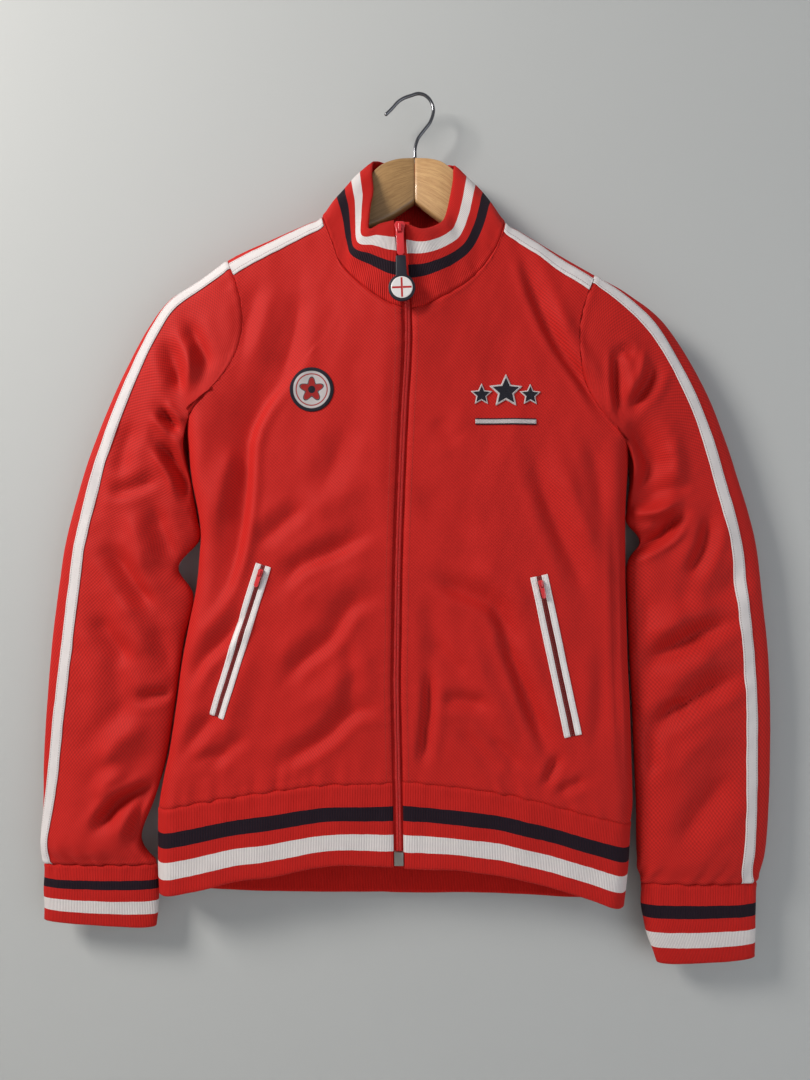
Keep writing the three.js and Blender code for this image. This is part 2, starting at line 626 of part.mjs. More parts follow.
// Where the panels, sleeves, collar and hem share their points
const ARM_QS = [0, 0.008, 0.035, 0.09, 0.178, 0.31, 0.5, 0.69, 0.822, 0.92, 0.98, 1];
const PANEL_VS = [
  ...evenly(9, 0, ARMPIT_V).slice(0, -1),
  ...ARM_QS.map((q) => 1 - (1 - ARMPIT_V) * q).reverse(),
];
const NECK_STEPS = 7;
const NECK_US = evenly(NECK_STEPS).map((t) => 1 - (1 - t) ** 1.6);
const SIDE_US = [0.893, 0.946, 0.986, 1];
const FRONT_US = [...NECK_US.map((p) => p * FRONT_NECK_U), 0.63, 0.76, ...SIDE_US];
const BACK_NECK_US = evenly(8).map((t) => (1 - Math.cos(Math.PI * t)) / 2);
const BACK_SIDE_US = [0, 0.007, 0.027, 0.054, 0.13, 0.2];
const BACK_US = [
  ...BACK_SIDE_US,
  ...BACK_NECK_US.map((p) => mix(BACK_NECK.from, BACK_NECK.to, p)),
  ...BACK_SIDE_US.map((u) => 1 - u).reverse(),
];

// Body panels
const clothRed = finish(COLOUR.red);
const ribRed = finish(COLOUR.rib);
const panels = {};

function makeFront(name, side) {
  const edges = frontEdges(side);
  const surface = (u, v) => {
    const [x, z] = patchAt(edges, u, v);
    return vec(x, frontY(x, z), z);
  };
  const grid = surfaceGrid(surface, FRONT_US, PANEL_VS, side.sign, (normal, u, v) => {
    if (normal.y > 0) normal.negate();
    const onSide = u === 1 && v <= ARMPIT_V;
    const onShoulder = v === 1 && u >= FRONT_NECK_U;
    if (onSide || onShoulder) flatNormal(normal);
  });
  grid.forEach((column, i) => column.forEach((cell, j) => {
    const onSide = FRONT_US[i] === 1 && PANEL_VS[j] <= ARMPIT_V;
    const onShoulder = PANEL_VS[j] === 1 && FRONT_US[i] >= FRONT_NECK_U;
    if (onSide || onShoulder) cell.point.y -= SEAM_GAP / 2;
  }));
  panels[name] = grid;
  addWall(name, grid, WALL, clothRed);
}

function makeBack() {
  const edges = backEdges();
  const surface = (u, v) => {
    const [x, z] = patchAt(edges, u, v);
    return vec(x, backY(x, z), z);
  };
  const seam = (u, v) => ((u === 0 || u === 1) && v <= ARMPIT_V)
    || (v === 1 && (u <= BACK_NECK.from || u >= BACK_NECK.to));
  const grid = surfaceGrid(surface, BACK_US, PANEL_VS, 1, (normal, u, v) => {
    if (normal.y < 0) normal.negate();
    if (seam(u, v)) flatNormal(normal);
  });
  grid.forEach((column, i) => column.forEach((cell, j) => {
    if (seam(BACK_US[i], PANEL_VS[j])) cell.point.y += SEAM_GAP / 2;
  }));
  panels.back = grid;
  addWall("back", grid, WALL, clothRed);
}

makeFront("front_left", SIDES.left);
makeFront("front_right", SIDES.right);
makeBack();

// Sleeves and cuffs: columns run round the tube, front from outer to inner edge, then back
const AROUND = [
  ...ARM_QS.map((q) => [q, -1]),
  ...ARM_QS.slice(1, -1).reverse().map((q) => [q, 1]),
];

function tubeGrid(at, rs, side) {
  return AROUND.map(([q, face]) => rs.map((r) => {
    const surface = (u, v) => at(side, v, u, face);
    const normal = normalAt(surface, q, r, 1, rs.at(-1));
    if (normal.y * face < 0) normal.negate();
    if (q === 0 || q === 1) {
      flatNormal(normal);
      const outward = q === 0 ? side.sign : -side.sign;
      if (normal.x * outward < 0) normal.negate();
    }
    return { point: at(side, r, q, face), normal };
  }));
}

const SLEEVE_STEPS = 24;
const sleeveGrids = {};

function makeSleeve(name, side) {
  const rs = evenly(SLEEVE_STEPS, 0, side.rows);
  const grid = tubeGrid(sleeveAt, rs, side);
  const front = side.sign < 0 ? panels.front_left.at(-1) : panels.front_right.at(-1);
  const behind = side.sign < 0 ? panels.back[0] : panels.back.at(-1);
  grid.forEach((column, i) => {
    const [q, face] = AROUND[i];
    const towards = sleeveAt(side, 0.2, q, face).sub(column[0].point).normalize();
    column[0].point.addScaledVector(towards, SEAM_GAP);
    const row = PANEL_VS.length - 1 - ARM_QS.indexOf(q);
    column[0].normal.copy((face < 0 ? front : behind)[row].normal);
  });
  sleeveGrids[name] = grid;
  addWall(name, grid, WALL, clothRed, true);
}

function makeCuff(name, side) {
  const grid = tubeGrid(cuffAt, evenly(3, 0, 2), side);
  addWall(name, grid, RIB_WALL, ribRed, true);
}

makeSleeve("sleeve_left", SIDES.left);
makeSleeve("sleeve_right", SIDES.right);
makeCuff("cuff_left", SIDES.left);
makeCuff("cuff_right", SIDES.right);

// Collar and hem: open rings whose columns meet the panels' own columns
const COLLAR_WS = [
  ...NECK_US,
  ...BACK_NECK_US.slice(1, -1).map((p) => 1 + p),
  ...NECK_US.map((p) => 3 - p).reverse(),
];

function makeCollar() {
  const ts = evenly(5, COLLAR_START / COLLAR_HEIGHT, 1);
  const grid = surfaceGrid(collarAt, COLLAR_WS, ts, 1, (normal, w) => {
    if (normal.dot(fromNeckMiddle(collarAt(w, 0.5))) < 0) normal.negate();
  });
  const seams = [
    ...panels.front_left.slice(0, NECK_US.length),
    ...panels.back.slice(BACK_SIDE_US.length + 1, -BACK_SIDE_US.length - 1),
    ...panels.front_right.slice(0, NECK_US.length).reverse(),
  ];
  grid.forEach((column, i) => column[0].normal.copy(seams[i].at(-1).normal));
  addWall("collar", grid, RIB_WALL, ribRed);
}

const HEM_WS = [
  ...FRONT_US,
  ...BACK_US.slice(1, -1).map((u) => 1 + u),
  ...FRONT_US.map((u) => 3 - u).reverse(),
];

function makeHem() {
  const ts = evenly(3, SEAM_GAP / HEM_HEIGHT, 1);
  const grid = HEM_WS.map((w) => ts.map((t) => {
    const across = hemAt(Math.min(3, w + 0.002), t).sub(hemAt(Math.max(0, w - 0.002), t));
    const down = hemAt(w, Math.min(1, t + 0.01)).sub(hemAt(w, t - 0.01));
    const normal = across.cross(down).normalize();
    const point = hemAt(w, t);
    if (w === 1 || w === 2) {
      flatNormal(normal);
      if (normal.x * (w === 1 ? -1 : 1) < 0) normal.negate();
    } else if (normal.y * (w > 1 && w < 2 ? 1 : -1) < 0) {
      normal.negate();
    }
    return { point, normal };
  }));
  addWall("hem_rib", grid, RIB_WALL, ribRed);
}

makeCollar();
makeHem();

// Points of a polyline of { point, normal } at a distance along it
function alongLine(line, distance) {
  let start = 0;
  for (let i = 1; i < line.length; i += 1) {
    const length = line[i].point.distanceTo(line[i - 1].point);
    if (distance <= start + length || i === line.length - 1) {
      const t = (distance - start) / length;
      return {
        point: line[i - 1].point.clone().lerp(line[i].point, t),
        normal: line[i - 1].normal.clone().lerp(line[i].normal, clamp(t)).normalize(),
      };
    }
    start += length;
  }
  return line.at(-1);
}

// White tapes: over the shoulder on the front panel, then down the sleeve
const tapeWhite = finish(COLOUR.white);
const TAPE_ACROSS = evenly(4, -TAPE_WIDTH / 2, TAPE_WIDTH / 2);
const SHOULDER_TAPE_FROM_RIDGE = 24; // along the cloth, which is steep beside the shoulder line
const SHOULDER_ACROSS = evenly(4, -SHOULDER_TAPE_WIDTH / 2, SHOULDER_TAPE_WIDTH / 2);

function makeShoulderTape(name, panel) {
  const rows = panel.slice(NECK_US.length - 1).map((column) => {
    const down = column.slice().reverse();
    return SHOULDER_ACROSS.map((across) => alongLine(down, SHOULDER_TAPE_FROM_RIDGE + across));
  });
  addStrip(name, rows, ROUND_LIFT, TAPE_THICK, tapeWhite);
}

// How far round a ring the tape's middle lies, from the outer edge
function aroundTo(line, distance) {
  let around = 0;
  for (let i = 1; i < line.length; i += 1) {
    const step = line[i].point.distanceTo(line[i - 1].point);
    const [before, after] = [line[i - 1], line[i]].map(({ point }) =>
      Math.hypot(point.x - line[0].point.x, point.z - line[0].point.z));
    if (after >= distance) return around + (step * (distance - before)) / (after - before);
    around += step;
  }
  return around;
}

function makeSleeveTape(name, grid, side) {
  const last = grid[0].length - 1;
  const rows = grid[0].map((_, k) => {
    const front = grid.slice(0, 9).map((column) => column[k]);
    const behind = grid.slice(-3).map((column) => column[k]);
    const line = [...behind, ...front];
    const steps = behind.map((cell, i) => cell.point.distanceTo(line[i + 1].point));
    const lead = steps.reduce((sum, step) => sum + step, 0);
    const middle = aroundTo(front, side.tapeCurve((side.rows * k) / last));
    return TAPE_ACROSS.map((across) => alongLine(line, lead + middle + across));
  });
  addStrip(name, rows, ROUND_LIFT, TAPE_THICK, tapeWhite);
}

makeShoulderTape("shoulder_tape_left", panels.front_left);
makeShoulderTape("shoulder_tape_right", panels.front_right);
makeSleeveTape("sleeve_tape_left", sleeveGrids.sleeve_left, SIDES.left);
makeSleeveTape("sleeve_tape_right", sleeveGrids.sleeve_right, SIDES.right);

// Front zip, down the middle line from the collar to the hem
const zipRed = finish(COLOUR.zip, 0.6);
const glossRed = finish(COLOUR.gloss, 0.25);
const [COLLAR_FOOT, COLLAR_HEAD] = [-236, -151];

function zipY(z) {
  const foot = (neckSeam(0).y + neckSeam(3).y) / 2;
  const up = (z - COLLAR_FOOT) / (COLLAR_HEAD - COLLAR_FOOT);
  return up > 0 ? mix(foot, collarTop(0).y, up) : frontY(centreX(z), z);
}

// A bar along the zip at some heights, between two offsets from its line and two depths
function makeZipBar(name, [from, to], [front, behind], heights, material) {
  const layer = (depth) => heights.map((z) =>
    [from, to].map((across) => vec(centreX(z) + across, zipY(z) + depth, z)));
  addMesh(name, wallGeometry(layer(front), layer(behind)), material);
}

const boxTop = ZIP_FOOT + ZIP_BOX.height;
const chainHeights = evenly(20, boxTop + SEAM_GAP, SLIDER.top - SLIDER.height - SEAM_GAP);
const tapeHeights = [ZIP_FOOT, ...chainHeights, SLIDER.top + 1];
const tapeDepths = [ZIP_TAPE.behind, ZIP_TAPE.behind + ZIP_TAPE.thick];
makeZipBar("zip_tape_left", [-ZIP_TAPE.to, -ZIP_TAPE.from], tapeDepths, tapeHeights, zipRed);
makeZipBar("zip_tape_right", [ZIP_TAPE.from, ZIP_TAPE.to], tapeDepths, tapeHeights, zipRed);
makeZipBar("zip_chain", [-CHAIN_HALF, CHAIN_HALF], [CHAIN_FRONT, CHAIN_FRONT + CHAIN_THICK],
  chainHeights, zipRed);
const boxDepths = [-ZIP_BOX.proud, ZIP_BOX.thick - ZIP_BOX.proud];
makeZipBar("zip_box", [-ZIP_BOX.width / 2, ZIP_BOX.width / 2], boxDepths, [ZIP_FOOT, boxTop],
  finish(COLOUR.metal, 0.35, 0.9));

// Solids for joining
function solidOf(geometry) {
  const source = geometry.index ? geometry.toNonIndexed() : geometry;
  const position = source.getAttribute("position");
  const [keys, coordinates, triangles] = [new Map(), [], []];
  for (let i = 0; i < position.count; i += 1) {
    const point = vec(0, 0, 0).fromBufferAttribute(position, i);
    const key = point.toArray().map((value) => value.toFixed(4)).join();
    if (!keys.has(key)) {
      keys.set(key, coordinates.length / 3);
      coordinates.push(...point.toArray());
    }
    triangles.push(keys.get(key));
  }
  return new wasm.Manifold(new wasm.Mesh({
    numProp: 3,
    vertProperties: new Float32Array(coordinates),
    triVerts: new Uint32Array(triangles),
  }));
}

function joined(first, second) {
  const { vertProperties, triVerts } = solidOf(first).add(solidOf(second)).getMesh();
  const geometry = new THREE.BufferGeometry();
  geometry.setAttribute("position", new THREE.BufferAttribute(Float32Array.from(vertProperties), 3));
  geometry.setIndex([...triVerts]);
  return geometry;
}

// A slider lies in its own frame: x across, y up the zip, z out of the cloth; the pull's
// pivot is the origin. The bridge is a loop on its face that holds the pull's bar.
function sliderGeometry(size, bridge) {
  const [half, top, low] = [size.width / 2, size.above, size.above - size.height];
  const outline = new THREE.Shape([
    [-half * 0.75, low], [half * 0.75, low], [half * 0.8, low + size.height * 0.45],
    [half, top - size.height * 0.25], [half * 0.7, top], [-half * 0.7, top],
    [-half, top - size.height * 0.25], [-half * 0.8, low + size.height * 0.45],
  ].map(([x, y]) => new THREE.Vector2(x, y)));
  const face = -bridge.under / 2;
  const body = new THREE.ExtrudeGeometry(outline, { depth: size.thick, bevelEnabled: false });
  body.translate(0, 0, face - size.thick);
  const loop = new THREE.Shape([
    [face - 0.5, -bridge.half], [bridge.rise + face - 0.4, -bridge.half],
    [bridge.rise + face, -bridge.half + 0.6], [bridge.rise + face, bridge.half - 0.6],
    [bridge.rise + face - 0.4, bridge.half], [face - 0.5, bridge.half],
    [face - 0.5, bridge.half - bridge.leg], [-face, bridge.half - bridge.leg],
    [-face, bridge.leg - bridge.half], [face - 0.5, bridge.leg - bridge.half],
  ].map(([z, y]) => new THREE.Vector2(z, y)));
  const loopBody = new THREE.ExtrudeGeometry(loop, { depth: bridge.width, bevelEnabled: false });
  loopBody.rotateY(-Math.PI / 2);
  loopBody.translate(bridge.width / 2, 0, 0);
  return joined(body, loopBody);
}

// A pull's tab, with the hole through which the bridge passes
function tabGeometry(tab) {
  const [half, low] = [tab.width / 2, -tab.length];
  const corner = tab.width * 0.3;
  const outline = new THREE.Shape([
    [-half + 0.4, tab.bar], [-half, tab.bar - 0.4], [-half, low + corner], [-half + corner, low],
    [half - corner, low], [half, low + corner], [half, tab.bar - 0.4], [half - 0.4, tab.bar],
  ].map(([x, y]) => new THREE.Vector2(x, y)));
  outline.holes.push(new THREE.Path([
    [-tab.hole / 2, -tab.bar], [tab.hole / 2, -tab.bar],
    [tab.hole / 2, -tab.holeEnd], [-tab.hole / 2, -tab.holeEnd],
  ].map(([x, y]) => new THREE.Vector2(x, y))));
  const geometry = new THREE.ExtrudeGeometry(outline, { depth: tab.thick, bevelEnabled: false });
  return geometry.translate(0, 0, -tab.thick / 2);
}

// Places a slider-frame geometry: origin, its across direction and its outward direction
function placed(geometry, origin, across, outward) {
  const up = outward.clone().cross(across).normalize();
  return geometry.applyMatrix4(new THREE.Matrix4().makeBasis(across, up, outward).setPosition(origin));
}

const pivotZ = SLIDER.top - SLIDER.above;
const mainPivot = vec(centreX(pivotZ), zipY(pivotZ) - SLIDER.front - BRIDGE.under / 2, pivotZ);
const ACROSS = vec(1, 0, 0);
const FORWARD = vec(0, -1, 0);
const mainSlider = sliderGeometry({ ...SLIDER, thick: SLIDER.front + SLIDER.behind }, BRIDGE);
addMesh("zip_slider", placed(mainSlider, mainPivot, ACROSS, FORWARD), glossRed);
const placePull = (geometry) => placed(geometry.rotateZ(PULL_TILT), mainPivot, ACROSS, FORWARD);
addMesh("pull_tab", placePull(tabGeometry(PULL_TAB)), glossRed);

// Rubber grip on the tab's end: a neck that widens into a disc
function gripGeometry() {
  const [half, radius, drop] = [GRIP.width / 2, GRIP.radius, -GRIP.discDrop];
  const meet = Math.asin(half / radius);
  const shape = new THREE.Shape();
  shape.moveTo(half * 0.9, -PULL_TAB.length - SEAM_GAP);
  shape.lineTo(-half * 0.9, -PULL_TAB.length - SEAM_GAP);
  shape.absarc(0, drop, radius, Math.PI / 2 + meet, Math.PI / 2 - meet + 2 * Math.PI, false);
  const options = { depth: GRIP.thick, bevelEnabled: false, curveSegments: 14 };
  const geometry = new THREE.ExtrudeGeometry(shape, options);
  return geometry.translate(0, 0, -GRIP.thick / 2);
}

addMesh("pull_grip", placePull(gripGeometry()), finish(COLOUR.navy, 0.6));
const faceDisc = new THREE.CylinderGeometry(FACE.radius, FACE.radius, FACE.thick, 24);
faceDisc.rotateX(Math.PI / 2);
faceDisc.translate(0, -GRIP.discDrop, GRIP.thick / 2 + SEAM_GAP + FACE.thick / 2);
addMesh("pull_face", placePull(faceDisc), finish(COLOUR.white, 0.4));

// What lies on a front panel: its place on the panel's own faces, seen along Y
function onPanel(grid, x, z) {
  for (let i = 0; i < grid.length - 1; i += 1) {
    for (let j = 0; j < grid[0].length - 1; j += 1) {
      const [a, b, c, d] = [grid[i][j], grid[i + 1][j], grid[i + 1][j + 1], grid[i][j + 1]];
      for (const corners of [[a, b, c], [a, c, d]]) {
        const [p, q, r] = corners.map((cell) => cell.point);
        const area = (q.x - p.x) * (r.z - p.z) - (r.x - p.x) * (q.z - p.z);
        const second = ((x - p.x) * (r.z - p.z) - (r.x - p.x) * (z - p.z)) / area;
        const third = ((q.x - p.x) * (z - p.z) - (x - p.x) * (q.z - p.z)) / area;
        const shares = [1 - second - third, second, third];
        if (Math.min(...shares) < -1e-9) continue;
        const normal = vec(0, 0, 0);
        corners.forEach((cell, k) => normal.addScaledVector(cell.normal, shares[k]));
        const y = corners.reduce((sum, cell, k) => sum + shares[k] * cell.point.y, 0);
        return { point: vec(x, y, z), normal: normal.normalize() };
      }
    }
  }
  throw new Error(`nothing of the panel at ${x}, ${z}`);
}

// Pockets: two welts with a zip between them, its slider and pull at the top
const POCKET_STEPS = 9;

function makePocket(name, pocket, panel) {
  const [top, low] = [pocket.top, pocket.bottom];
  const length = Math.hypot(top[0] - low[0], top[1] - low[1]);
  const up = [(top[0] - low[0]) / length, (top[1] - low[1]) / length];
  const across = [up[1], -up[0]];
  const place = (s, offset) => onPanel(panel, top[0] - up[0] * s + across[0] * offset,
    top[1] - up[1] * s + across[1] * offset);
  const strip = (part, from, to, thick, material) => {
    const rows = evenly(POCKET_STEPS, 0, length).map((s) => [place(s, from), place(s, to)]);
    addStrip(`pocket_${part}_${name}`, rows, TAPE_LIFT, thick, material);
  };
  const inner = pocket.gap / 2;
  strip("welt_a", -inner - pocket.welt, -inner - SEAM_GAP / 2, WELT_THICK, tapeWhite);
  strip("welt_b", inner + SEAM_GAP / 2, inner + pocket.welt, WELT_THICK, tapeWhite);
  strip("zip", -inner + SEAM_GAP / 2, inner - SEAM_GAP / 2, POCKET_ZIP_THICK, zipRed);
  const seat = place(POCKET_SLIDER.from, 0);
  const outward = seat.normal;
  const acrossLine = vec(across[0], 0, across[1]);
  acrossLine.addScaledVector(outward, -acrossLine.dot(outward)).normalize();
  const height = TAPE_LIFT + WELT_THICK + SEAM_GAP + POCKET_SLIDER.thick + POCKET_BRIDGE.under / 2;
  const pivot = pushed(seat.point, outward, height);
  addMesh(`pocket_slider_${name}`,
    placed(sliderGeometry(POCKET_SLIDER, POCKET_BRIDGE), pivot, acrossLine, outward), glossRed);
  addMesh(`pocket_pull_${name}`, placed(tabGeometry(POCKET_PULL), pivot, acrossLine, outward), glossRed);
}

makePocket("left", POCKETS.left, panels.front_left);
makePocket("right", POCKETS.right, panels.front_right);

// A flat badge on a panel: rings of points from its middle out to its outline
function makeBadge(name, panel, [cx, cz], outline, thick, material) {
  const shares = [0.5, 1];
  const layer = (lift) => {
    const at = (x, z) => {
      const { point, normal } = onPanel(panel, x, z);
      return pushed(point, normal, lift);
    };
    return [at(cx, cz), ...shares.flatMap((share) =>
      outline.map(([x, z]) => at(cx + (x - cx) * share, cz + (z - cz) * share)))];
  };
  const points = [...layer(TAPE_LIFT + thick), ...layer(TAPE_LIFT)];
  const [count, half] = [outline.length, points.length / 2];
  const triangles = [];
  for (let i = 0; i < count; i += 1) {
    const [a, b] = [1 + i, 1 + ((i + 1) % count)];
    const [c, d] = [a + count, b + count];
    for (const [base, turn] of [[0, 1], [half, -1]]) {
      for (const face of [[0, a, b], [a, c, d], [a, d, b]]) {
        const corners = turn > 0 ? face : face.slice().reverse();
        triangles.push(...corners.map((k) => k + base));
      }
    }
    triangles.push(c, c + half, d + half, c, d + half, d);
  }
  addMesh(name, geometryOf(points, triangles), material);
}

function around(count, radiusAt, [cx, cz]) {
  return Array.from({ length: count }, (_, k) => {
    const angle = (2 * Math.PI * k) / count;
    return [cx + radiusAt(k) * Math.sin(angle), cz + radiusAt(k) * Math.cos(angle)];
  });
}

makeBadge("chest_patch", panels.front_left, [PATCH.x, PATCH.z],
  around(20, () => PATCH.radius, [PATCH.x, PATCH.z]), PATCH.thick, tapeWhite);
for (const { name, x, z, radius } of STARS) {
  const points = around(10, (k) => (k % 2 ? radius * STAR_INNER : radius), [x, z]);
  makeBadge(name, panels.front_right, [x, z], points, STAR_THICK, finish(COLOUR.navy));
}
const barRows = evenly(5, BAR.x - BAR.length / 2, BAR.x + BAR.length / 2).map((x) =>
  [0.5, -0.5].map((share) => onPanel(panels.front_right, x, BAR.z + share * BAR.height)));
addStrip("star_bar", barRows, TAPE_LIFT, BAR.thick, tapeWhite);

// Hanger: two arms that curve forward from the middle, and the hook's wire
const headTop = valueOf(HEAD_TOP);
const armBottom = valueOf(ARM_BOTTOM);
const woodClear = valueOf(WOOD_CLEAR);
const ARM_REACHES = [
  SEAM_GAP / 2, 12, 24, 36, 50, 65, 80, 95, 120, 150, 180, ARM_LENGTH - TIP_LENGTH, ARM_LENGTH,
];

function armSection(x) {
  const reach = Math.abs(x - HANGER_X);
  const tipDrop = TIP_ROUND * ease((reach - ARM_LENGTH + TIP_LENGTH) / TIP_LENGTH);
  const top = Math.min(headTop(reach), shoulderZ(x) - woodClear(reach)) - tipDrop;
  const lean = (shoulderZ(x) - shoulderZ(2 * HANGER_X - x)) / 2;
  const low = armBottom(reach) + lean * ease(reach / 60);
  const crown = mix(ARM_CROWN.head, ARM_CROWN.arm, ease((reach - 30) / 40));
  const y = ridgeY(x);
  const h = ARM_HALF_THICK;
  return [
    [0, top], [0.35, top - 0.06 * crown], [0.75, top - 0.34 * crown], [1, top - crown],
    [1, low + 2], [0.7, low], [-0.7, low], [-1, low + 2],
    [-1, top - crown], [-0.75, top - 0.34 * crown], [-0.35, top - 0.06 * crown],
  ].map(([across, z]) => vec(x, y + across * h, z));
}

function makeArm(name, sign) {
  const rings = ARM_REACHES.map((reach) => armSection(HANGER_X + sign * reach));
  const count = rings[0].length;
  const points = rings.flat();
  const triangles = [];
  for (let i = 0; i < rings.length - 1; i += 1) {
    for (let j = 0; j < count; j += 1) {
      const [a, b] = [i * count + j, i * count + ((j + 1) % count)];
      triangles.push(a, b, b + count, a, b + count, a + count);
    }
  }
  const last = (rings.length - 1) * count;
  for (let j = 1; j < count - 1; j += 1) {
    triangles.push(0, j + 1, j, last, last + j, last + j + 1);
  }
  addMesh(name, geometryOf(points, triangles), finish(COLOUR.wood, 0.55));
}

makeArm("hanger_arm_left", -1);
makeArm("hanger_arm_right", 1);

const wireSection = new THREE.Shape(evenly(8).slice(0, -1).map((t) =>
  new THREE.Vector2(Math.cos(2 * Math.PI * t), Math.sin(2 * Math.PI * t)).multiplyScalar(WIRE / 2)));
const wireLine = new THREE.CatmullRomCurve3(HOOK.map(([x, z]) => vec(x, 0, z)), false, "centripetal");
addMesh("hanger_hook", new THREE.ExtrudeGeometry(wireSection,
  { steps: 30, extrudePath: wireLine, bevelEnabled: false }), finish(COLOUR.wire, 0.3, 0.9));

export default parts;
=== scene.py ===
"""Track jacket on its wooden hanger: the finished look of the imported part.

Sizes are in millimetres until a mesh is made, and in metres from there on. +X is the viewer's
right, +Y points away from the viewer and +Z is up. The origin is where the hook bears.
"""

import logging
import math
from collections.abc import Callable, Sequence
from dataclasses import dataclass, field
from enum import Enum

import bmesh
import bpy
import numpy as np
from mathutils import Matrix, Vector


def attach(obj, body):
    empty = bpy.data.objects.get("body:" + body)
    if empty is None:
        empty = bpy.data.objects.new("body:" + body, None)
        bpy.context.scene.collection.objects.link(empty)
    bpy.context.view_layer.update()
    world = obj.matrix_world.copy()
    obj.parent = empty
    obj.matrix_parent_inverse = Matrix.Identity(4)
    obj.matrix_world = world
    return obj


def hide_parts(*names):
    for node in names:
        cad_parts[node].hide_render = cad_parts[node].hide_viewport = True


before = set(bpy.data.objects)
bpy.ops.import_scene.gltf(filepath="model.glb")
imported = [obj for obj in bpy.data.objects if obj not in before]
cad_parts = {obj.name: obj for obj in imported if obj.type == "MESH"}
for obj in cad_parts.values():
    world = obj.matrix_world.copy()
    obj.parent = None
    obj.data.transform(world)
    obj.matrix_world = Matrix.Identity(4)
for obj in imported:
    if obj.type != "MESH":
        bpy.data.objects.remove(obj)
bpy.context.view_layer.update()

log = logging.getLogger("track_jacket")

MM = 0.001

# The form's rows, the same as in the part's source

SHOULDER = (
    (-262, -228), (-252, -218), (-234, -207.5), (-218, -197), (-187, -176), (-142, -155),
    (-106, -139), (-93.5, -133.2), (-60, -95), (-41, -72), (0, -50), (46, -75), (70, -103),
    (98.5, -139), (112, -147), (125, -155), (160, -176), (191, -193.5), (219, -208), (234, -218),
    (250, -228.5), (262, -239),
)
CENTRE = (
    (-860, -12.2), (-806, -12.6), (-757, -13.3), (-685, -14.6), (-617, -15.8), (-575, -15.2),
    (-490, -13.8), (-409, -11), (-333, -7.6), (-276, -4.3), (-231, -4.7), (-190, -10.9),
    (-150, -11.7),
)
COLLAR_TOP = (
    (0, -17.8, -51, -151), (0.3, -31, -50, -153), (0.5, -44, -46, -156), (0.62, -43, -34, -130),
    (0.8, -40, -22, -104), (0.9, -41.5, -17, -86), (1, -41, -5, -70), (1.25, -26, 12, -66),
    (1.5, 3, 16, -65), (1.75, 32, 12, -69), (2, 46, -5, -74), (2.1, 45, -17, -87),
    (2.2, 42, -22, -108), (2.38, 36, -31, -137), (2.55, 30, -39, -148), (2.78, 12, -49, -158),
    (3, -5.6, -51, -154),
)
BACK_NECK_LINE = (
    (-93.5, -133.2), (-76, -143), (-45, -150.5), (3, -154), (50, -154), (80, -148), (98.5, -139),
)
BACK_HEM_TOP = (
    (-266, -749.5), (-170, -758), (0, -763), (170, -768), (232.3, -764.8),
)
BACK_HEM_BOTTOM = (
    (-266, -840), (-173, -846), (-22, -849), (96, -849.5), (182, -853.5), (225, -853.6),
)
HOOK = (
    (4.2, -65.2), (4.4, -54), (7.4, -44), (13.5, -35.5), (20.5, -26), (23.8, -14), (21, -4.2),
    (15, 2), (7.8, 3.9), (0, 1.8), (-7.8, -1), (-13.8, -5), (-20.8, -12.6), (-27.8, -19.4),
)
HEAD_TOP = (
    (0, -65.6), (20, -68.5), (38, -77), (60, -100.5), (80, -121), (100, -133),
)
ARM_BOTTOM = (
    (0, -113), (32, -136), (94, -165), (150, -188), (200, -208), (215, -212),
)
WOOD_CLEAR = (
    (0, 6.6), (60, 6.6), (95, 6.6), (125, 2.6), (160, 2.6), (180, 3.9), (215, 3.9),
)
LEFT_SIDE = (
    (-842, -266), (-795, -266.5), (-750, -266), (-721, -261.5), (-690, -255), (-640, -247.5),
    (-605, -243), (-560, -235), (-520, -227), (-480, -223), (-464, -222), (-445, -224),
    (-406, -231.5), (-375, -235), (-352, -237.5), (-338, -239),
)
LEFT_NECK = (
    (-10.8, -235), (-24.9, -229.7), (-41.3, -218.7), (-57.7, -204.4), (-72.8, -187), (-81.6, -164),
    (-93.5, -133.2),
)
LEFT_HEM_TOP = (
    (-266, -749.5), (-229.7, -743.3), (-193.7, -736.2), (-159, -731.4), (-121.6, -725.8),
    (-84.5, -722), (-38.3, -721), (-8, -719),
)
LEFT_HEM_BOTTOM = (
    (-266, -840), (-225, -832), (-181, -821), (-145, -816.5), (-121.6, -811.6), (-100.4, -807),
    (-73.8, -804), (-38.3, -805), (-6, -806.5),
)
LEFT_SLEEVE = (
    (-191, -178.8, -239, -338, 40, 20, 20, -11), (-218, -197, -240.5, -350, 34, 20, 20, -10),
    (-252, -218, -240, -362, 26, 20, 19, -8), (-276, -247, -238.5, -376, 18, 19, 18, -6),
    (-299, -288, -235.5, -396, 10, 18, 16, -4), (-320, -332, -231.5, -418, 5, 17, 15, -2),
    (-341, -385, -226.5, -446, 2, 16, 14, -1), (-355, -430, -224.5, -470, 0, 15, 13, 0),
    (-366, -474, -247, -499, 0, 15, 13, 0), (-373, -520, -231, -530, 0, 15, 13, 0),
    (-380, -575, -241.5, -580, 0, 14, 13, 0), (-385.5, -640, -250, -640, 0, 14, 12, 0),
    (-389, -700, -259.5, -700, 0, 14, 12, 0), (-389.5, -748, -272, -744, 0, 15, 12, 0),
    (-391, -790, -286, -785, 0, 18, 12, 0), (-388, -811, -269.5, -811.5, 0, 11, 10, 0),
)
LEFT_CUFF = (
    (-388, -811.5, -269.3, -812.4, 10), (-389, -840, -268, -843, 10.5),
    (-388.5, -871, -270, -878.5, 9.5),
)
LEFT_TAPE = (
    (0, 7.5), (2, 9), (3.6, 13), (6.4, 17), (9.8, 20), (11.2, 17), (12.2, 14), (13.2, 8),
    (14.2, 4), (15, 4),
)
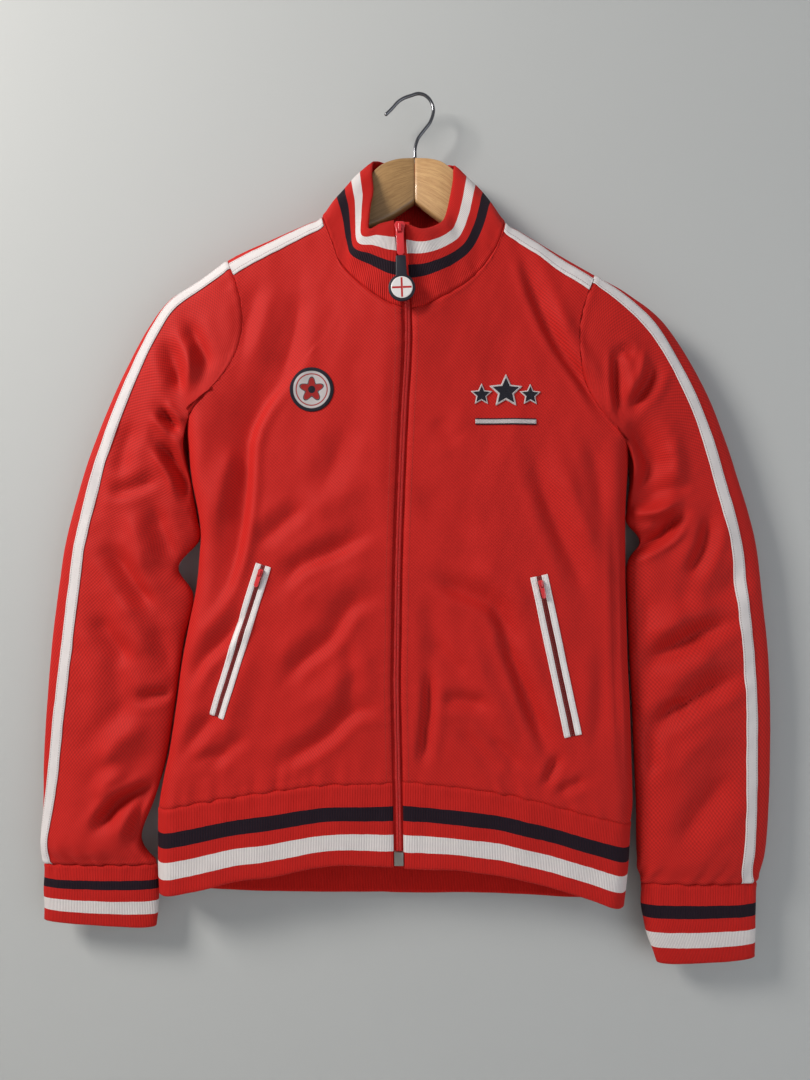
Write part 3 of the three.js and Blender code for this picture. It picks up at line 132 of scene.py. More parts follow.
RIGHT_SIDE = (
    (-855, 225), (-810, 228.8), (-765, 232.3), (-745, 234), (-703, 233), (-640, 231), (-600, 229),
    (-533, 227), (-500, 226.5), (-438, 226.5), (-410, 228), (-385, 229.5), (-371, 230),
)
RIGHT_NECK = (
    (1.2, -237), (13.4, -232.8), (29.7, -224.9), (50.6, -212.2), (70.2, -194.8), (87.3, -170),
    (98.5, -139),
)
RIGHT_HEM_TOP = (
    (-18, -718.5), (-1.3, -719), (29.3, -722.5), (65.1, -726.7), (97.4, -731.8), (130, -739.1),
    (154.2, -746.1), (176.9, -752.1), (204, -759.2), (232.3, -764.8),
)
RIGHT_HEM_BOTTOM = (
    (-20, -806.5), (0.4, -807.6), (44.6, -808.9), (68.5, -811.8), (94, -815.2), (125, -822.6),
    (151, -829), (186, -840.5), (214.6, -851), (225, -853.6),
)
RIGHT_SLEEVE = (
    (191, -193.5, 230, -371, 37, 20, 20, -11), (219, -208, 232.5, -381, 32, 20, 20, -10),
    (250, -228.5, 233.5, -391, 25, 20, 19, -8), (270, -247, 233, -402, 18, 19, 18, -6),
    (292, -279, 231.8, -414, 10, 18, 16, -4), (315, -321, 230.3, -425, 5, 17, 15, -2),
    (334, -369, 229, -438, 2, 16, 14, -1), (347, -408, 229, -452, 0, 15, 13, 0),
    (357, -440, 243, -472, 0, 15, 13, 0), (366, -478, 229.5, -495, 0, 15, 13, 0),
    (372, -530, 229.8, -540, 0, 15, 13, 0), (378, -585, 231.5, -590, 0, 14, 13, 0),
    (380.6, -640, 234.2, -640, 0, 14, 12, 0), (380.6, -695, 236.5, -697, 0, 14, 12, 0),
    (379, -750, 238.8, -750, 0, 15, 12, 0), (375, -800, 239.5, -801, 0, 17, 12, 0),
    (368, -831, 243, -832, 0, 11, 10, 0),
)
RIGHT_CUFF = (
    (366, -831.5, 244, -832.5, 10), (364.7, -870, 247, -872, 10.5),
    (364.7, -911, 260.5, -917, 9.5),
)
RIGHT_TAPE = (
    (0, 7.5), (1.2, 12), (2.4, 17), (4, 21.5), (6.2, 23), (9, 25), (10.6, 25), (12, 24), (14, 23),
    (15.3, 21), (16, 14),
)


Array = np.ndarray
Socket = bpy.types.NodeSocket
Point2 = tuple[float, float]
Point3 = tuple[float, float, float]
Colour = Point3

# How a fold looks across it, in shares of its half width, and how it ends
FOLD_DEPTH = 1.5
FOLD_POWER = 1.5
RIM_SHARE, RIM_AT, RIM_WIDTH = 0.3, 2.0, 0.9
END_REACH, END_SHARE = 0.3, 0.12


class Side(Enum):
    """A side of the jacket as the viewer sees it; the value is its sign along X."""

    LEFT = -1
    RIGHT = 1


class Face(Enum):
    """The half of a flattened tube that faces the viewer, or the half behind it."""

    FRONT = -1
    BACK = 1


class Dye(Enum):
    """Yarn colours of the ribs' stripes, in sRGB."""

    RED = (208, 32, 26)
    NAVY = (17, 16, 30)
    WHITE = (240, 233, 231)


def ease(share: Array | float) -> Array:
    """Smooth step of a share from 0 to 1."""
    held = np.clip(share, 0.0, 1.0)
    return held * held * (3.0 - 2.0 * held)


def mix(first: Array | float, second: Array | float, share: Array | float) -> Array:
    """Straight blend of two values."""
    return first + (second - first) * share


def round_rise(distance: Array, radius: float) -> Array:
    """Height of a quarter round at a distance from its edge, as a share of the whole."""
    return np.sqrt(1.0 - (1.0 - np.clip(distance / radius, 0.0, 1.0)) ** 2)


def superellipse(share: Array, power: float = 2.4) -> Array:
    """Half thickness of a flattened tube across it, from edge to edge."""
    return np.maximum(1.0 - np.abs(1.0 - 2.0 * share) ** power, 0.0) ** (1.0 / power)


def unit(vectors: Array) -> Array:
    """Vectors brought to length one."""
    return vectors / np.maximum(np.linalg.norm(vectors, axis=-1, keepdims=True), 1e-9)


def round_spaced(count: int) -> Array:
    """Shares from 0 to 1 that crowd at both ends."""
    return (1.0 - np.cos(np.pi * np.linspace(0.0, 1.0, count))) / 2.0


@dataclass(frozen=True)
class Curve:
    """A smooth curve through rows of a key and its values, in order of the key."""

    rows: tuple[tuple[float, ...], ...]

    def at(self, key: Array | float) -> Array:
        """Values of the curve.

        Args:
            key: one key or an array of them.

        Returns:
            An array of the keys' shape with the values along one more axis.
        """
        table = np.asarray(self.rows, dtype=float)
        keys, values = table[:, 0], table[:, 1:]
        before = np.maximum(np.arange(len(keys)) - 1, 0)
        after = np.minimum(np.arange(len(keys)) + 1, len(keys) - 1)
        slope = (values[after] - values[before]) / (keys[after] - keys[before])[:, None]
        key = np.asarray(key, dtype=float)
        low = np.clip(np.searchsorted(keys, key, side="right") - 1, 0, len(keys) - 2)
        span = (keys[low + 1] - keys[low])[..., None]
        t = np.clip((key - keys[low])[..., None] / span, 0.0, 1.0)
        start = (2 * t**3 - 3 * t**2 + 1) * values[low] + (t**3 - 2 * t**2 + t) * span * slope[low]
        end = (3 * t**2 - 2 * t**3) * values[low + 1] + (t**3 - t**2) * span * slope[low + 1]
        return start + end

    def value(self, key: Array | float) -> Array:
        """The first value alone."""
        return self.at(key)[..., 0]


@dataclass(frozen=True)
class Path:
    """A smooth path through points, walked by the share of its length."""

    points: tuple[tuple[float, ...], ...]

    def at(self, share: Array | float) -> Array:
        """Points of the path.

        Args:
            share: 0 at the first point to 1 at the last.

        Returns:
            The points, with their coordinates along the last axis.
        """
        table = np.asarray(self.points, dtype=float)
        steps = np.linalg.norm(np.diff(table, axis=0), axis=1)
        length = np.concatenate(([0.0], np.cumsum(steps)))
        rows = tuple((key, *point) for key, point in zip(length, self.points))
        return Curve(rows).at(np.asarray(share, dtype=float) * length[-1])


@dataclass(frozen=True)
class Crease:
    """A fold of the cloth along a line of (x, z) points.

    A positive depth is a trough and a negative one a ridge. The half widths are those on the
    left and on the right of a walk from the first point to the last.
    """

    path: tuple[Point2, ...]
    left: float
    right: float
    depth: float
    steps: int = 14

    def depth_at(self, x: Array, z: Array) -> Array:
        """How deep the fold is at some places.

        Args:
            x: places across.
            z: places up.

        Returns:
            The depth there, with a low shoulder on both sides of the fold.
        """
        line = Path(self.path).at(np.linspace(0.0, 1.0, self.steps + 1))
        nearest = np.full(x.shape, np.inf)
        across = np.zeros(x.shape)
        along = np.zeros(x.shape)
        for step, (start, end) in enumerate(zip(line[:-1], line[1:])):
            dx, dz = end - start
            share = np.clip(((x - start[0]) * dx + (z - start[1]) * dz) / (dx * dx + dz * dz), 0.0, 1.0)
            off_x, off_z = x - start[0] - dx * share, z - start[1] - dz * share
            distance = np.hypot(off_x, off_z)
            closer = distance < nearest
            nearest = np.where(closer, distance, nearest)
            across = np.where(closer, np.sign(dx * off_z - dz * off_x) * distance, across)
            along = np.where(closer, (step + share) / self.steps, along)
        width = np.where(across > 0.0, self.left, self.right)
        reach = np.abs(across) / width
        rim = RIM_SHARE * np.exp(-(((reach - RIM_AT) / RIM_WIDTH) ** 2))
        profile = np.exp(-(reach**FOLD_POWER)) - rim
        taper = ease(along / END_REACH) * ease((1.0 - along) / END_REACH)
        return FOLD_DEPTH * self.depth * profile * mix(END_SHARE, 1.0, taper)

    def moved(self, by_x: float, by_z: float, share: float) -> "Crease":
        """The same fold at another place, with a share of its depth."""
        path = tuple((x + by_x, z + by_z) for x, z in self.path)
        return Crease(path, self.right, self.left, self.depth * share)


def creased(creases: Sequence[Crease], x: Array, z: Array) -> Array:
    """Depth of all the folds together."""
    return sum((crease.depth_at(x, z) for crease in creases), np.zeros(np.broadcast(x, z).shape))


@dataclass(frozen=True)
class Ripple:
    """Soft uneven waves: which ones, their length and about how high they are, in mm."""

    seed: int
    size: float
    height: float
    count: int = 9

    def at(self, x: Array, z: Array) -> Array:
        """Height of the waves at places across and up."""
        draw = np.random.default_rng(self.seed)
        total = np.zeros(np.broadcast(x, z).shape)
        for _ in range(self.count):
            angle, phase = draw.uniform(0.0, 2.0 * np.pi, 2)
            length = self.size * draw.uniform(0.7, 1.6)
            walk = (x * np.cos(angle) + z * np.sin(angle)) * 2.0 * np.pi / length
            total = total + np.sin(walk + phase)
        return self.height * total / math.sqrt(self.count)


def rippled(ripples: Sequence[Ripple], x: Array, z: Array) -> Array:
    """Height of several kinds of waves together."""
    return sum(ripple.at(x, z) for ripple in ripples)


FRONT_CREASES: tuple[Crease, ...] = (
    Crease(((-111, -285), (-144, -319), (-167, -360), (-171, -411),
            (-178, -470), (-193, -521), (-215, -549)), 6, 26, 8.5),
    Crease(((-164, -537), (-193, -572), (-219, -600), (-234, -635)), 6, 10, 5),
    Crease(((-197, -645), (-219, -669), (-242, -702)), 6, 8, 3.5),
    Crease(((-107, -433), (-134, -455), (-162, -478)), 7, 9, 3.2),
    Crease(((-36, -460), (-78, -481), (-115, -498), (-138, -523)), 6, 10, 4.5),
    Crease(((-32, -528), (-62, -540), (-83, -572), (-113, -596), (-136, -621)), 6, 11, 4.5),
    Crease(((-24, -641), (-60, -648), (-83, -670), (-113, -690), (-146, -706)), 6, 10, 4.5),
    Crease(((-68, -572), (-60, -613), (-70, -649)), 8, 8, 2.5),
    Crease(((-166, -669), (-189, -686), (-211, -710)), 6, 8, 2.6),
    Crease(((-66, -343), (-78, -388), (-101, -434)), 12, 12, 2.4),
    Crease(((-113, -210), (-120, -256), (-138, -313)), 10, 16, 4),
    Crease(((-152, -201), (-168, -246), (-173, -287)), 8, 10, 2.5),
    Crease(((-183, -368), (-193, -409), (-203, -460)), 9, 10, -3.5),
    Crease(((-158, -572), (-183, -633), (-191, -679)), 10, 10, -2),
    Crease(((-113, -450), (-83, -429), (-40, -415)), 16, 16, -2.2),
    Crease(((-124, -541), (-83, -511), (-32, -496)), 14, 14, -2.4),
    Crease(((-128, -653), (-83, -623), (-34, -582)), 14, 14, -2.4),
    Crease(((-236, -704), (-215, -694), (-183, -690)), 6, 6, 1.8),
    Crease(((-22, -246), (-32, -348), (-28, -450)), 14, 14, -1.2),
    Crease(((109, -168), (127, -222), (147, -264), (172, -301), (200, -348)), 9, 5, 5.5),
    Crease(((121, -368), (136, -419), (152, -460), (166, -492), (182, -537)), 12, 9, 4.5),
    Crease(((4, -415), (34, -442), (72, -466)), 12, 12, 2.6),
    Crease(((13, -501), (48, -521), (80, -536), (98, -558), (121, -582)), 11, 7, 5),
    Crease(((88, -543), (100, -582), (116, -623), (131, -664), (147, -704)), 9, 6, 5.5),
    Crease(((27, -634), (52, -635), (82, -640)), 7, 7, 3),
    Crease(((17, -596), (18, -633), (14, -674), (9, -709)), 6, 5, 5.5),
    Crease(((44, -662), (70, -686), (98, -710)), 6, 7, 2.6),
    Crease(((78, -672), (98, -690), (115, -708)), 6, 6, 2.4),
    Crease(((154, -690), (143, -710), (137, -727)), 5, 5, 3.5),
    Crease(((182, -716), (164, -723), (147, -731)), 5, 5, 2.6),
    Crease(((17, -521), (23, -572), (20, -608)), 9, 9, 2),
    Crease(((21, -572), (42, -596), (60, -608)), 7, 7, 1.8),
    Crease(((25, -343), (37, -360), (52, -372)), 9, 9, 1.8),
    Crease(((208, -429), (208, -490), (212, -633), (219, -735)), 3, 3, 2.2),
    Crease(((147, -226), (164, -270), (188, -309)), 8, 8, -2.6),
    Crease(((60, -490), (100, -515), (127, -541)), 10, 10, -2.4),
    Crease(((60, -572), (80, -623), (111, -678)), 12, 12, -2.2),
    Crease(((152, -388), (172, -439), (190, -490)), 12, 12, -2.6),
    Crease(((29, -222), (13, -234), (3, -244)), 5, 5, 1.6),
    Crease(((192, -572), (196, -633), (188, -694)), 12, 8, 2.4),
    Crease(((178, -358), (192, -399), (198, -450)), 9, 7, 2.2),
)
LEFT_SLEEVE_CREASES: tuple[Crease, ...] = (
    Crease(((-233, -240), (-221, -267), (-212, -286), (-206, -301)), 9, 7, 8),
    Crease(((-256, -259), (-246, -291), (-237, -322)), 9, 8, 5),
    Crease(((-229, -257), (-226, -287), (-231, -320)), 6, 7, -4),
    Crease(((-262, -334), (-252, -345), (-241, -357)), 5, 5, 9),
    Crease(((-266, -366), (-252, -384), (-240, -405), (-235, -430)), 9, 5, 11),
    Crease(((-318, -422), (-293, -417), (-262, -405)), 7, 6, 3.5),
    Crease(((-272, -428), (-262, -460), (-247, -497)), 9, 9, 4),
    Crease(((-289, -345), (-300, -376), (-306, -410)), 9, 9, 3),
    Crease(((-327, -470), (-309, -491), (-289, -520), (-268, -549)), 9, 9, 5.5),
    Crease(((-333, -545), (-316, -574), (-295, -604)), 10, 10, 5),
    Crease(((-291, -637), (-268, -634), (-247, -629)), 7, 5, 6),
    Crease(((-314, -585), (-306, -637), (-312, -679)), 12, 12, 2.5),
    Crease(((-333, -779), (-310, -748), (-289, -736), (-265, -724)), 6, 9, 10),
    Crease(((-277, -735), (-287, -762), (-295, -793)), 5, 5, 5),
    Crease(((-266, -789), (-281, -781), (-293, -779)), 5, 5, 4),
    Crease(((-325, -710), (-304, -679), (-272, -662)), 12, 14, -5),
    Crease(((-329, -741), (-312, -720), (-293, -714)), 8, 8, -4),
    Crease(((-216, -491), (-235, -503), (-245, -518)), 6, 6, 4),
    Crease(((-295, -439), (-283, -475), (-277, -512)), 10, 10, -3.5),
    Crease(((-304, -522), (-283, -564), (-272, -599)), 12, 12, -3.5),
    Crease(((-272, -554), (-258, -585), (-254, -616)), 8, 8, 2.5),
    Crease(((-320, -366), (-327, -407), (-329, -449)), 6, 6, 1.5),
)
RIGHT_SLEEVE_CREASES: tuple[Crease, ...] = (
    Crease(((210, -270), (210, -303), (213, -345)), 7, 4, 10),
    Crease(((211, -280), (220, -273), (230, -282)), 4, 5, 5),
    Crease(((256, -284), (245, -309), (230, -326), (218, -341)), 7, 7, 5),
    Crease(((222, -345), (241, -372), (249, -395), (239, -420), (228, -434)), 14, 9, 8),
    Crease(((239, -430), (262, -418), (295, -416)), 7, 8, 3.5),
    Crease(((224, -443), (253, -441), (278, -432)), 6, 5, -6),
    Crease(((283, -439), (268, -462), (247, -476), (226, -487)), 5, 10, 10),
    Crease(((314, -441), (308, -475), (289, -514)), 7, 8, 6),
    Crease(((351, -547), (314, -564), (283, -580), (254, -595), (235, -612)), 8, 11, 6.5),
    Crease(((354, -606), (318, -626), (291, -643), (262, -662), (245, -685)), 8, 11, 6.5),
    Crease(((268, -649), (280, -643), (291, -649)), 5, 5, 3),
    Crease(((341, -710), (308, -752), (276, -796)), 13, 13, 4.5),
    Crease(((251, -670), (253, -702), (247, -720)), 6, 6, 4.5),
    Crease(((245, -528), (247, -558), (245, -585)), 7, 7, 2),
    Crease(((291, -512), (285, -535), (291, -560)), 8, 8, 2),
    Crease(((301, -533), (270, -556), (239, -574)), 12, 12, -3.5),
    Crease(((322, -585), (291, -604), (255, -626)), 9, 9, -4),
    Crease(((333, -658), (291, -689), (264, -731)), 16, 16, -3.5),
    Crease(((239, -272), (235, -301), (224, -326)), 5, 6, -3),
    Crease(((264, -366), (272, -391), (264, -407)), 8, 8, -3),
    Crease(((347, -491), (333, -522), (301, -539)), 12, 12, 3),
    Crease(((260, -220), (272, -251), (291, -295)), 9, 9, 2),
)
BACK_CREASES: tuple[Crease, ...] = (
    Crease(((-150, -214), (-172, -290), (-188, -362)), 14, 10, 4.5),
    Crease(((150, -228), (172, -300), (190, -374)), 10, 14, 4.5),
    Crease(((-64, -246), (0, -262), (72, -250)), 14, 18, 3),
    Crease(((-205, -462), (-140, -520), (-72, -566)), 12, 9, 4.5),
    Crease(((192, -512), (130, -580), (58, -642)), 9, 12, 4.5),
    Crease(((-180, -600), (-120, -640), (-40, -668)), 10, 10, 3.5),
    Crease(((120, -420), (60, -450), (-20, -462)), 14, 14, 2.5),
    Crease(((-214, -380), (-190, -440), (-176, -500)), 10, 12, 3.5),
    Crease(((210, -410), (186, -460), (170, -520)), 12, 10, 3.5),
    Crease(((-20, -690), (50, -700), (110, -690)), 9, 9, 2.5),
    Crease(((180, -660), (140, -700), (100, -730)), 9, 9, 3),
    Crease(((-10, -330), (10, -420), (-6, -520)), 20, 20, -2),
)


@dataclass(frozen=True)
class SideForm:
    """The rows that give one side of the jacket its shape."""

    side: Side
    arm_top: float
    armpit: Point2
    bow: float
    hem_fold: Point2
    hem_foot: Point2
    fold: Curve
    neck: Path
    hem_top: Curve
    hem_bottom: Curve
    sleeve: Curve
    cuff: Curve
    tape: Curve
    front_creases: tuple[Crease, ...]
    back_creases: tuple[Crease, ...]

    @property
    def sign(self) -> int:
        """-1 on the left and 1 on the right."""
        return self.side.value

    @property
    def rows(self) -> int:
        """Number of the sleeve's last section."""
        return len(self.sleeve.rows) - 1


def last_tenth(share: Array) -> Array:
    """0 up to nine tenths of an edge, then smoothly up to 1 at its end."""
    return ease((share - 0.9) / 0.1)


def numbered(rows: Sequence[tuple[float, ...]]) -> Curve:
    """A curve whose key is the number of the row."""
    return Curve(tuple((index, *row) for index, row in enumerate(rows)))


def behind(creases: Sequence[Crease], aside: float) -> tuple[Crease, ...]:
    """Folds of a sleeve's back: those of its front, moved and much shallower."""
    return tuple(crease.moved(aside, -22.0, 0.35) for crease in creases)


LEFT = SideForm(
    side=Side.LEFT, arm_top=-191, armpit=(-239, -338), bow=40, hem_fold=(-266, -749.5),
    hem_foot=(-266, -840), fold=Curve(LEFT_SIDE), neck=Path(LEFT_NECK), hem_top=Curve(LEFT_HEM_TOP),
    hem_bottom=Curve(LEFT_HEM_BOTTOM), sleeve=numbered(LEFT_SLEEVE), cuff=numbered(LEFT_CUFF),
    tape=Curve(LEFT_TAPE), front_creases=LEFT_SLEEVE_CREASES,
    back_creases=behind(LEFT_SLEEVE_CREASES, -8.0),
)
RIGHT = SideForm(
    side=Side.RIGHT, arm_top=191, armpit=(230, -371), bow=37, hem_fold=(232.3, -764.8),
    hem_foot=(225, -853.6), fold=Curve(RIGHT_SIDE), neck=Path(RIGHT_NECK),
    hem_top=Curve(RIGHT_HEM_TOP), hem_bottom=Curve(RIGHT_HEM_BOTTOM),
    sleeve=numbered(RIGHT_SLEEVE), cuff=numbered(RIGHT_CUFF), tape=Curve(RIGHT_TAPE),
    front_creases=RIGHT_SLEEVE_CREASES,
    back_creases=behind(RIGHT_SLEEVE_CREASES, 8.0),
)

# Places on the front where a hard piece of the part lies: x, z and the depth it was made for
SEATS = ((-153.9, -503.6, -29.4), (132.2, -514.8, -31.6))
SEAT_REACH = 24.0

FRONT_RIPPLES = (Ripple(3, 46.0, 0.55), Ripple(4, 17.0, 0.16))
BACK_RIPPLES = (Ripple(5, 48.0, 0.6), Ripple(6, 18.0, 0.16))
SLEEVE_FRONT_RIPPLES = (Ripple(7, 38.0, 0.5), Ripple(9, 15.0, 0.16))
SLEEVE_BACK_RIPPLES = (Ripple(8, 38.0, 0.6),)


@dataclass(frozen=True)
class JacketForm:
    """The jacket's surfaces, as the part's source gives them, with finer folds."""

    shoulder_round: float = 26.0
    side_round: float = 24.0
    front_depth: float = 27.0
    front_crown: float = 7.0
    crown_foot_z: float = -500.0
    crown_run: float = 220.0
    crown_loss: float = 0.8
    neck_crown: float = 11.0
    neck_at: Point2 = (-5.0, -235.0)
    neck_size: Point2 = (75.0, 70.0)
    back_depth: float = 11.0
    back_crown: float = 4.0
    half_width: float = 230.0
    half_zip: float = 6.0
    level_drop: float = 6.0
    armpit_v: float = 0.6
    front_neck_u: float = 0.5
    back_neck: Point2 = (0.27, 0.73)
    armpit_flare: float = 0.6
    hanger_x: float = 4.0
    arm_forward: float = 12.0
    arm_curve: float = 70.0
    ridge_reach: float = 120.0
    zip_flat: float = 14.0
    neck_middle_y: float = -18.0
    collar_swell: float = 3.0
    hem_seam_z: float = -720.0
    zip_foot: float = -804.5
    sleeve_folds: float = 1.08
    collar_foot_z: float = -236.0
    collar_head_z: float = -151.0
    seats: tuple[Point3, ...] = ()

    def seated(self) -> "JacketForm":
        """The form with its front brought to the depth of each hard piece's seat."""
        gaps = tuple((x, z, y - float(self.front_y(np.array(x), np.array(z)))) for x, z, y in SEATS)
        return JacketForm(seats=gaps)

    def centre_x(self, z: Array | float) -> Array:
        """X of the zip's centre line."""
        return Curve(CENTRE).value(z)

    def shoulder_z(self, x: Array | float) -> Array:
        """Z of the shoulder line."""
        return Curve(SHOULDER).value(x)

    def side_x(self, form: SideForm, z: Array | float) -> Array:
        """X of the side fold; above the armpit the form runs on out into the sleeve."""
        x, armpit_z = form.armpit
        flared = x + form.sign * self.armpit_flare * (z - armpit_z)
        return np.where(np.asarray(z) > armpit_z, flared, form.fold.value(z))

    def middle_y(self, x: Array, z: Array) -> Array:
        """Y where front and back meet."""
        ridge = -self.arm_forward * (1.0 - np.exp(-np.abs(x - self.hanger_x) / self.arm_curve))
        return ridge * (1.0 - ease((self.shoulder_z(x) - z) / self.ridge_reach))

    def fullness(self, x: Array, z: Array) -> Array:
        """0 at the shoulder line and the side folds, 1 over the flat of the body."""
        top = round_rise(self.shoulder_z(x) - z, self.shoulder_round)
        left = round_rise(x - self.side_x(LEFT, z), self.side_round)
        return top * left * round_rise(self.side_x(RIGHT, z) - x, self.side_round)

    def front_y(self, x: Array, z: Array) -> Array:
        """Y of the front's face.

        Args:
            x: places across.
            z: places up.

        Returns:
            The depth of the cloth there, folds and all.
        """
        full = self.fullness(x, z)
        low = self.crown_loss * ease((self.crown_foot_z - z) / self.crown_run)
        crown = self.front_crown * (1 - (x / self.half_width) ** 2) * (1 - low)
        (neck_x, neck_z), (wide, high) = self.neck_at, self.neck_size
        neck = self.neck_crown * np.exp(-(((x - neck_x) / wide) ** 2) - ((z - neck_z) / high) ** 2)
        from_zip = ease((np.abs(x - self.centre_x(z)) - self.half_zip) / self.zip_flat)
        fold = creased(FRONT_CREASES, x, z) + rippled(FRONT_RIPPLES, x, z)
        for seat_x, seat_z, gap in self.seats:
            fold = fold + gap * np.exp(-(((x - seat_x) ** 2 + (z - seat_z) ** 2) / SEAT_REACH**2))
        depth = fold * from_zip - self.front_depth - crown - neck
        return self.middle_y(x, z) * (1 - full) + depth * full

    def back_y(self, x: Array, z: Array) -> Array:
        """Y of the back's face.

        Args:
            x: places across.
            z: places up.

        Returns:
            The depth of the cloth there, folds and all.
        """
        full = self.fullness(x, z)
        crown = self.back_crown * (1 - (x / self.half_width) ** 2)
        fold = creased(BACK_CREASES, x, z) + rippled(BACK_RIPPLES, x, z)
        return self.middle_y(x, z) * (1 - full) + (self.back_depth + crown - fold) * full

    def deep(self, face: Face, flat: Array) -> Array:
        """Points of the front or the back from their X and Z."""
        x, z = flat[..., 0], flat[..., 1]
        y = self.front_y(x, z) if face is Face.FRONT else self.back_y(x, z)
        return np.stack((x, y, z), axis=-1)

    def front_frame(self, x: Array, z: Array) -> tuple[Array, Array]:
        """Points of the front and the normals that stand on them."""
        x, z = np.broadcast_arrays(np.asarray(x, float), np.asarray(z, float))
        step = 1.0
        slope_x = (self.front_y(x + step, z) - self.front_y(x - step, z)) / (2 * step)
        slope_z = (self.front_y(x, z + step) - self.front_y(x, z - step)) / (2 * step)
        normals = unit(np.stack((slope_x, -np.ones_like(x), slope_z), axis=-1))
        return np.stack((x, self.front_y(x, z), z), axis=-1), normals

    def bowed(self, start: Array, end: Array, bow: Array, sign: int,
              q: Array) -> Array:
        """Points of a line from start to end that bows out by a given amount."""
        across = end - start
        length = np.maximum(np.linalg.norm(across, axis=-1), 1e-6)
        out = bow * 4.0 * q * (1.0 - q) * sign / length
        x = start[..., 0] + across[..., 0] * q + across[..., 1] * out
        z = start[..., 1] + across[..., 1] * q - across[..., 0] * out
        return np.stack((x, z), axis=-1)

    def armhole(self, form: SideForm, q: Array) -> Array:
        """Armhole seam in X and Z, from the shoulder at 0 to the armpit at 1."""
        start = np.array((form.arm_top, float(self.shoulder_z(form.arm_top))))
        return self.bowed(start, np.array(form.armpit, float), np.array(form.bow), form.sign, q)

    def outer_edge(self, form: SideForm, hem_z: float, v: Array) -> Array:
        """Side seam from the hem up to the armpit, then the armhole up to the shoulder."""
        z = mix(hem_z, form.armpit[1], np.minimum(v / self.armpit_v, 1.0))
        seam = np.stack((self.side_x(form, z), z), axis=-1)
        q = np.clip(1.0 - (v - self.armpit_v) / (1.0 - self.armpit_v), 0.0, 1.0)
        return np.where((v > self.armpit_v)[..., None], self.armhole(form, q), seam)

    def front_bottom(self, form: SideForm, u: Array) -> Array:
        """Hem seam of a front, from the zip at 0 to the side fold at 1."""
        fold_x, hem_z = form.hem_fold
        start = self.centre_x(self.hem_seam_z) + form.sign * self.half_zip
        centre_z = form.hem_top.value(start)
        x = mix(self.centre_x(centre_z) + form.sign * self.half_zip, fold_x, u)
        return np.stack((x, mix(form.hem_top.value(x), hem_z, last_tenth(u))), axis=-1)

    def front_top(self, form: SideForm, u: Array) -> Array:
        """Neck seam and shoulder line of a front."""
        share = np.clip((u - self.front_neck_u) / (1 - self.front_neck_u), 0.0, 1.0)
        x = mix(form.neck.points[-1][0], form.arm_top, share)
        shoulder = np.stack((x, self.shoulder_z(x)), axis=-1)
        neck = form.neck.at(np.minimum(u / self.front_neck_u, 1.0))
        return np.where((u < self.front_neck_u)[..., None], neck, shoulder)

    def front_start(self, form: SideForm, v: Array) -> Array:
        """Front edge beside the zip."""
        neck_x, neck_z = form.neck.points[0]
        centre_z = self.front_bottom(form, np.zeros(1))[0, 1]
        level = form.armpit[1] - self.level_drop
        low = mix(centre_z, level, v / self.armpit_v)
        high = mix(level, neck_z, (v - self.armpit_v) / (1 - self.armpit_v))
        z = np.where(v < self.armpit_v, low, high)
        x = mix(self.centre_x(z) + form.sign * self.half_zip, neck_x, last_tenth(v))
        return np.stack((x, z), axis=-1)

    def patch(self, edges: tuple[Callable, Callable, Callable, Callable], u: Array,
              v: Array) -> Array:
        """A patch inside four edge curves.

        Args:
            edges: bottom and top by u, start and end by v, each giving X and Z.
            u: columns.
            v: rows.

        Returns:
            X and Z of each column and row.
        """
        bottom, top, start, end = edges
        u2, v2 = u[:, None, None], v[None, :, None]
        ends = np.array((0.0, 1.0))
        low, high = bottom(ends), top(ends)
        sides = (1 - v2) * bottom(u)[:, None] + v2 * top(u)[:, None]
        sides = sides + (1 - u2) * start(v)[None] + u2 * end(v)[None]
        corners = (1 - u2) * (1 - v2) * low[0] + u2 * (1 - v2) * low[1]
        return sides - corners - (1 - u2) * v2 * high[0] - u2 * v2 * high[1]

    def front_grid(self, form: SideForm, u: Array, v: Array) -> Array:
        """Points of a front panel."""
        flat = self.patch((
            lambda a: self.front_bottom(form, a), lambda a: self.front_top(form, a),
            lambda b: self.front_start(form, b), lambda b: self.outer_edge(form, form.hem_fold[1], b),
        ), u, v)
        return self.deep(Face.FRONT, flat)

    def back_top(self, u: Array) -> Array:
        """Shoulder lines and neck seam of the back."""
        low, high = self.back_neck
        first, last = BACK_NECK_LINE[0], BACK_NECK_LINE[-1]
        left = mix(LEFT.arm_top, first[0], np.minimum(u / low, 1.0))
        right = mix(last[0], RIGHT.arm_top, np.clip((u - high) / (1 - high), 0.0, 1.0))
        x = np.where(u < low, left, right)
        neck = Path(BACK_NECK_LINE).at(np.clip((u - low) / (high - low), 0.0, 1.0))
        inside = ((u >= low) & (u <= high))[..., None]
        return np.where(inside, neck, np.stack((x, self.shoulder_z(x)), axis=-1))

    def back_bottom(self, u: Array) -> Array:
        """Hem seam of the back."""
        x = mix(BACK_HEM_TOP[0][0], BACK_HEM_TOP[-1][0], u)
        return np.stack((x, Curve(BACK_HEM_TOP).value(x)), axis=-1)

    def back_grid(self, u: Array, v: Array) -> Array:
        """Points of the back panel."""
        flat = self.patch((
            self.back_bottom, self.back_top,
            lambda b: self.outer_edge(LEFT, BACK_HEM_TOP[0][1], b),
            lambda b: self.outer_edge(RIGHT, BACK_HEM_TOP[-1][1], b),
        ), u, v)
        return self.deep(Face.BACK, flat)

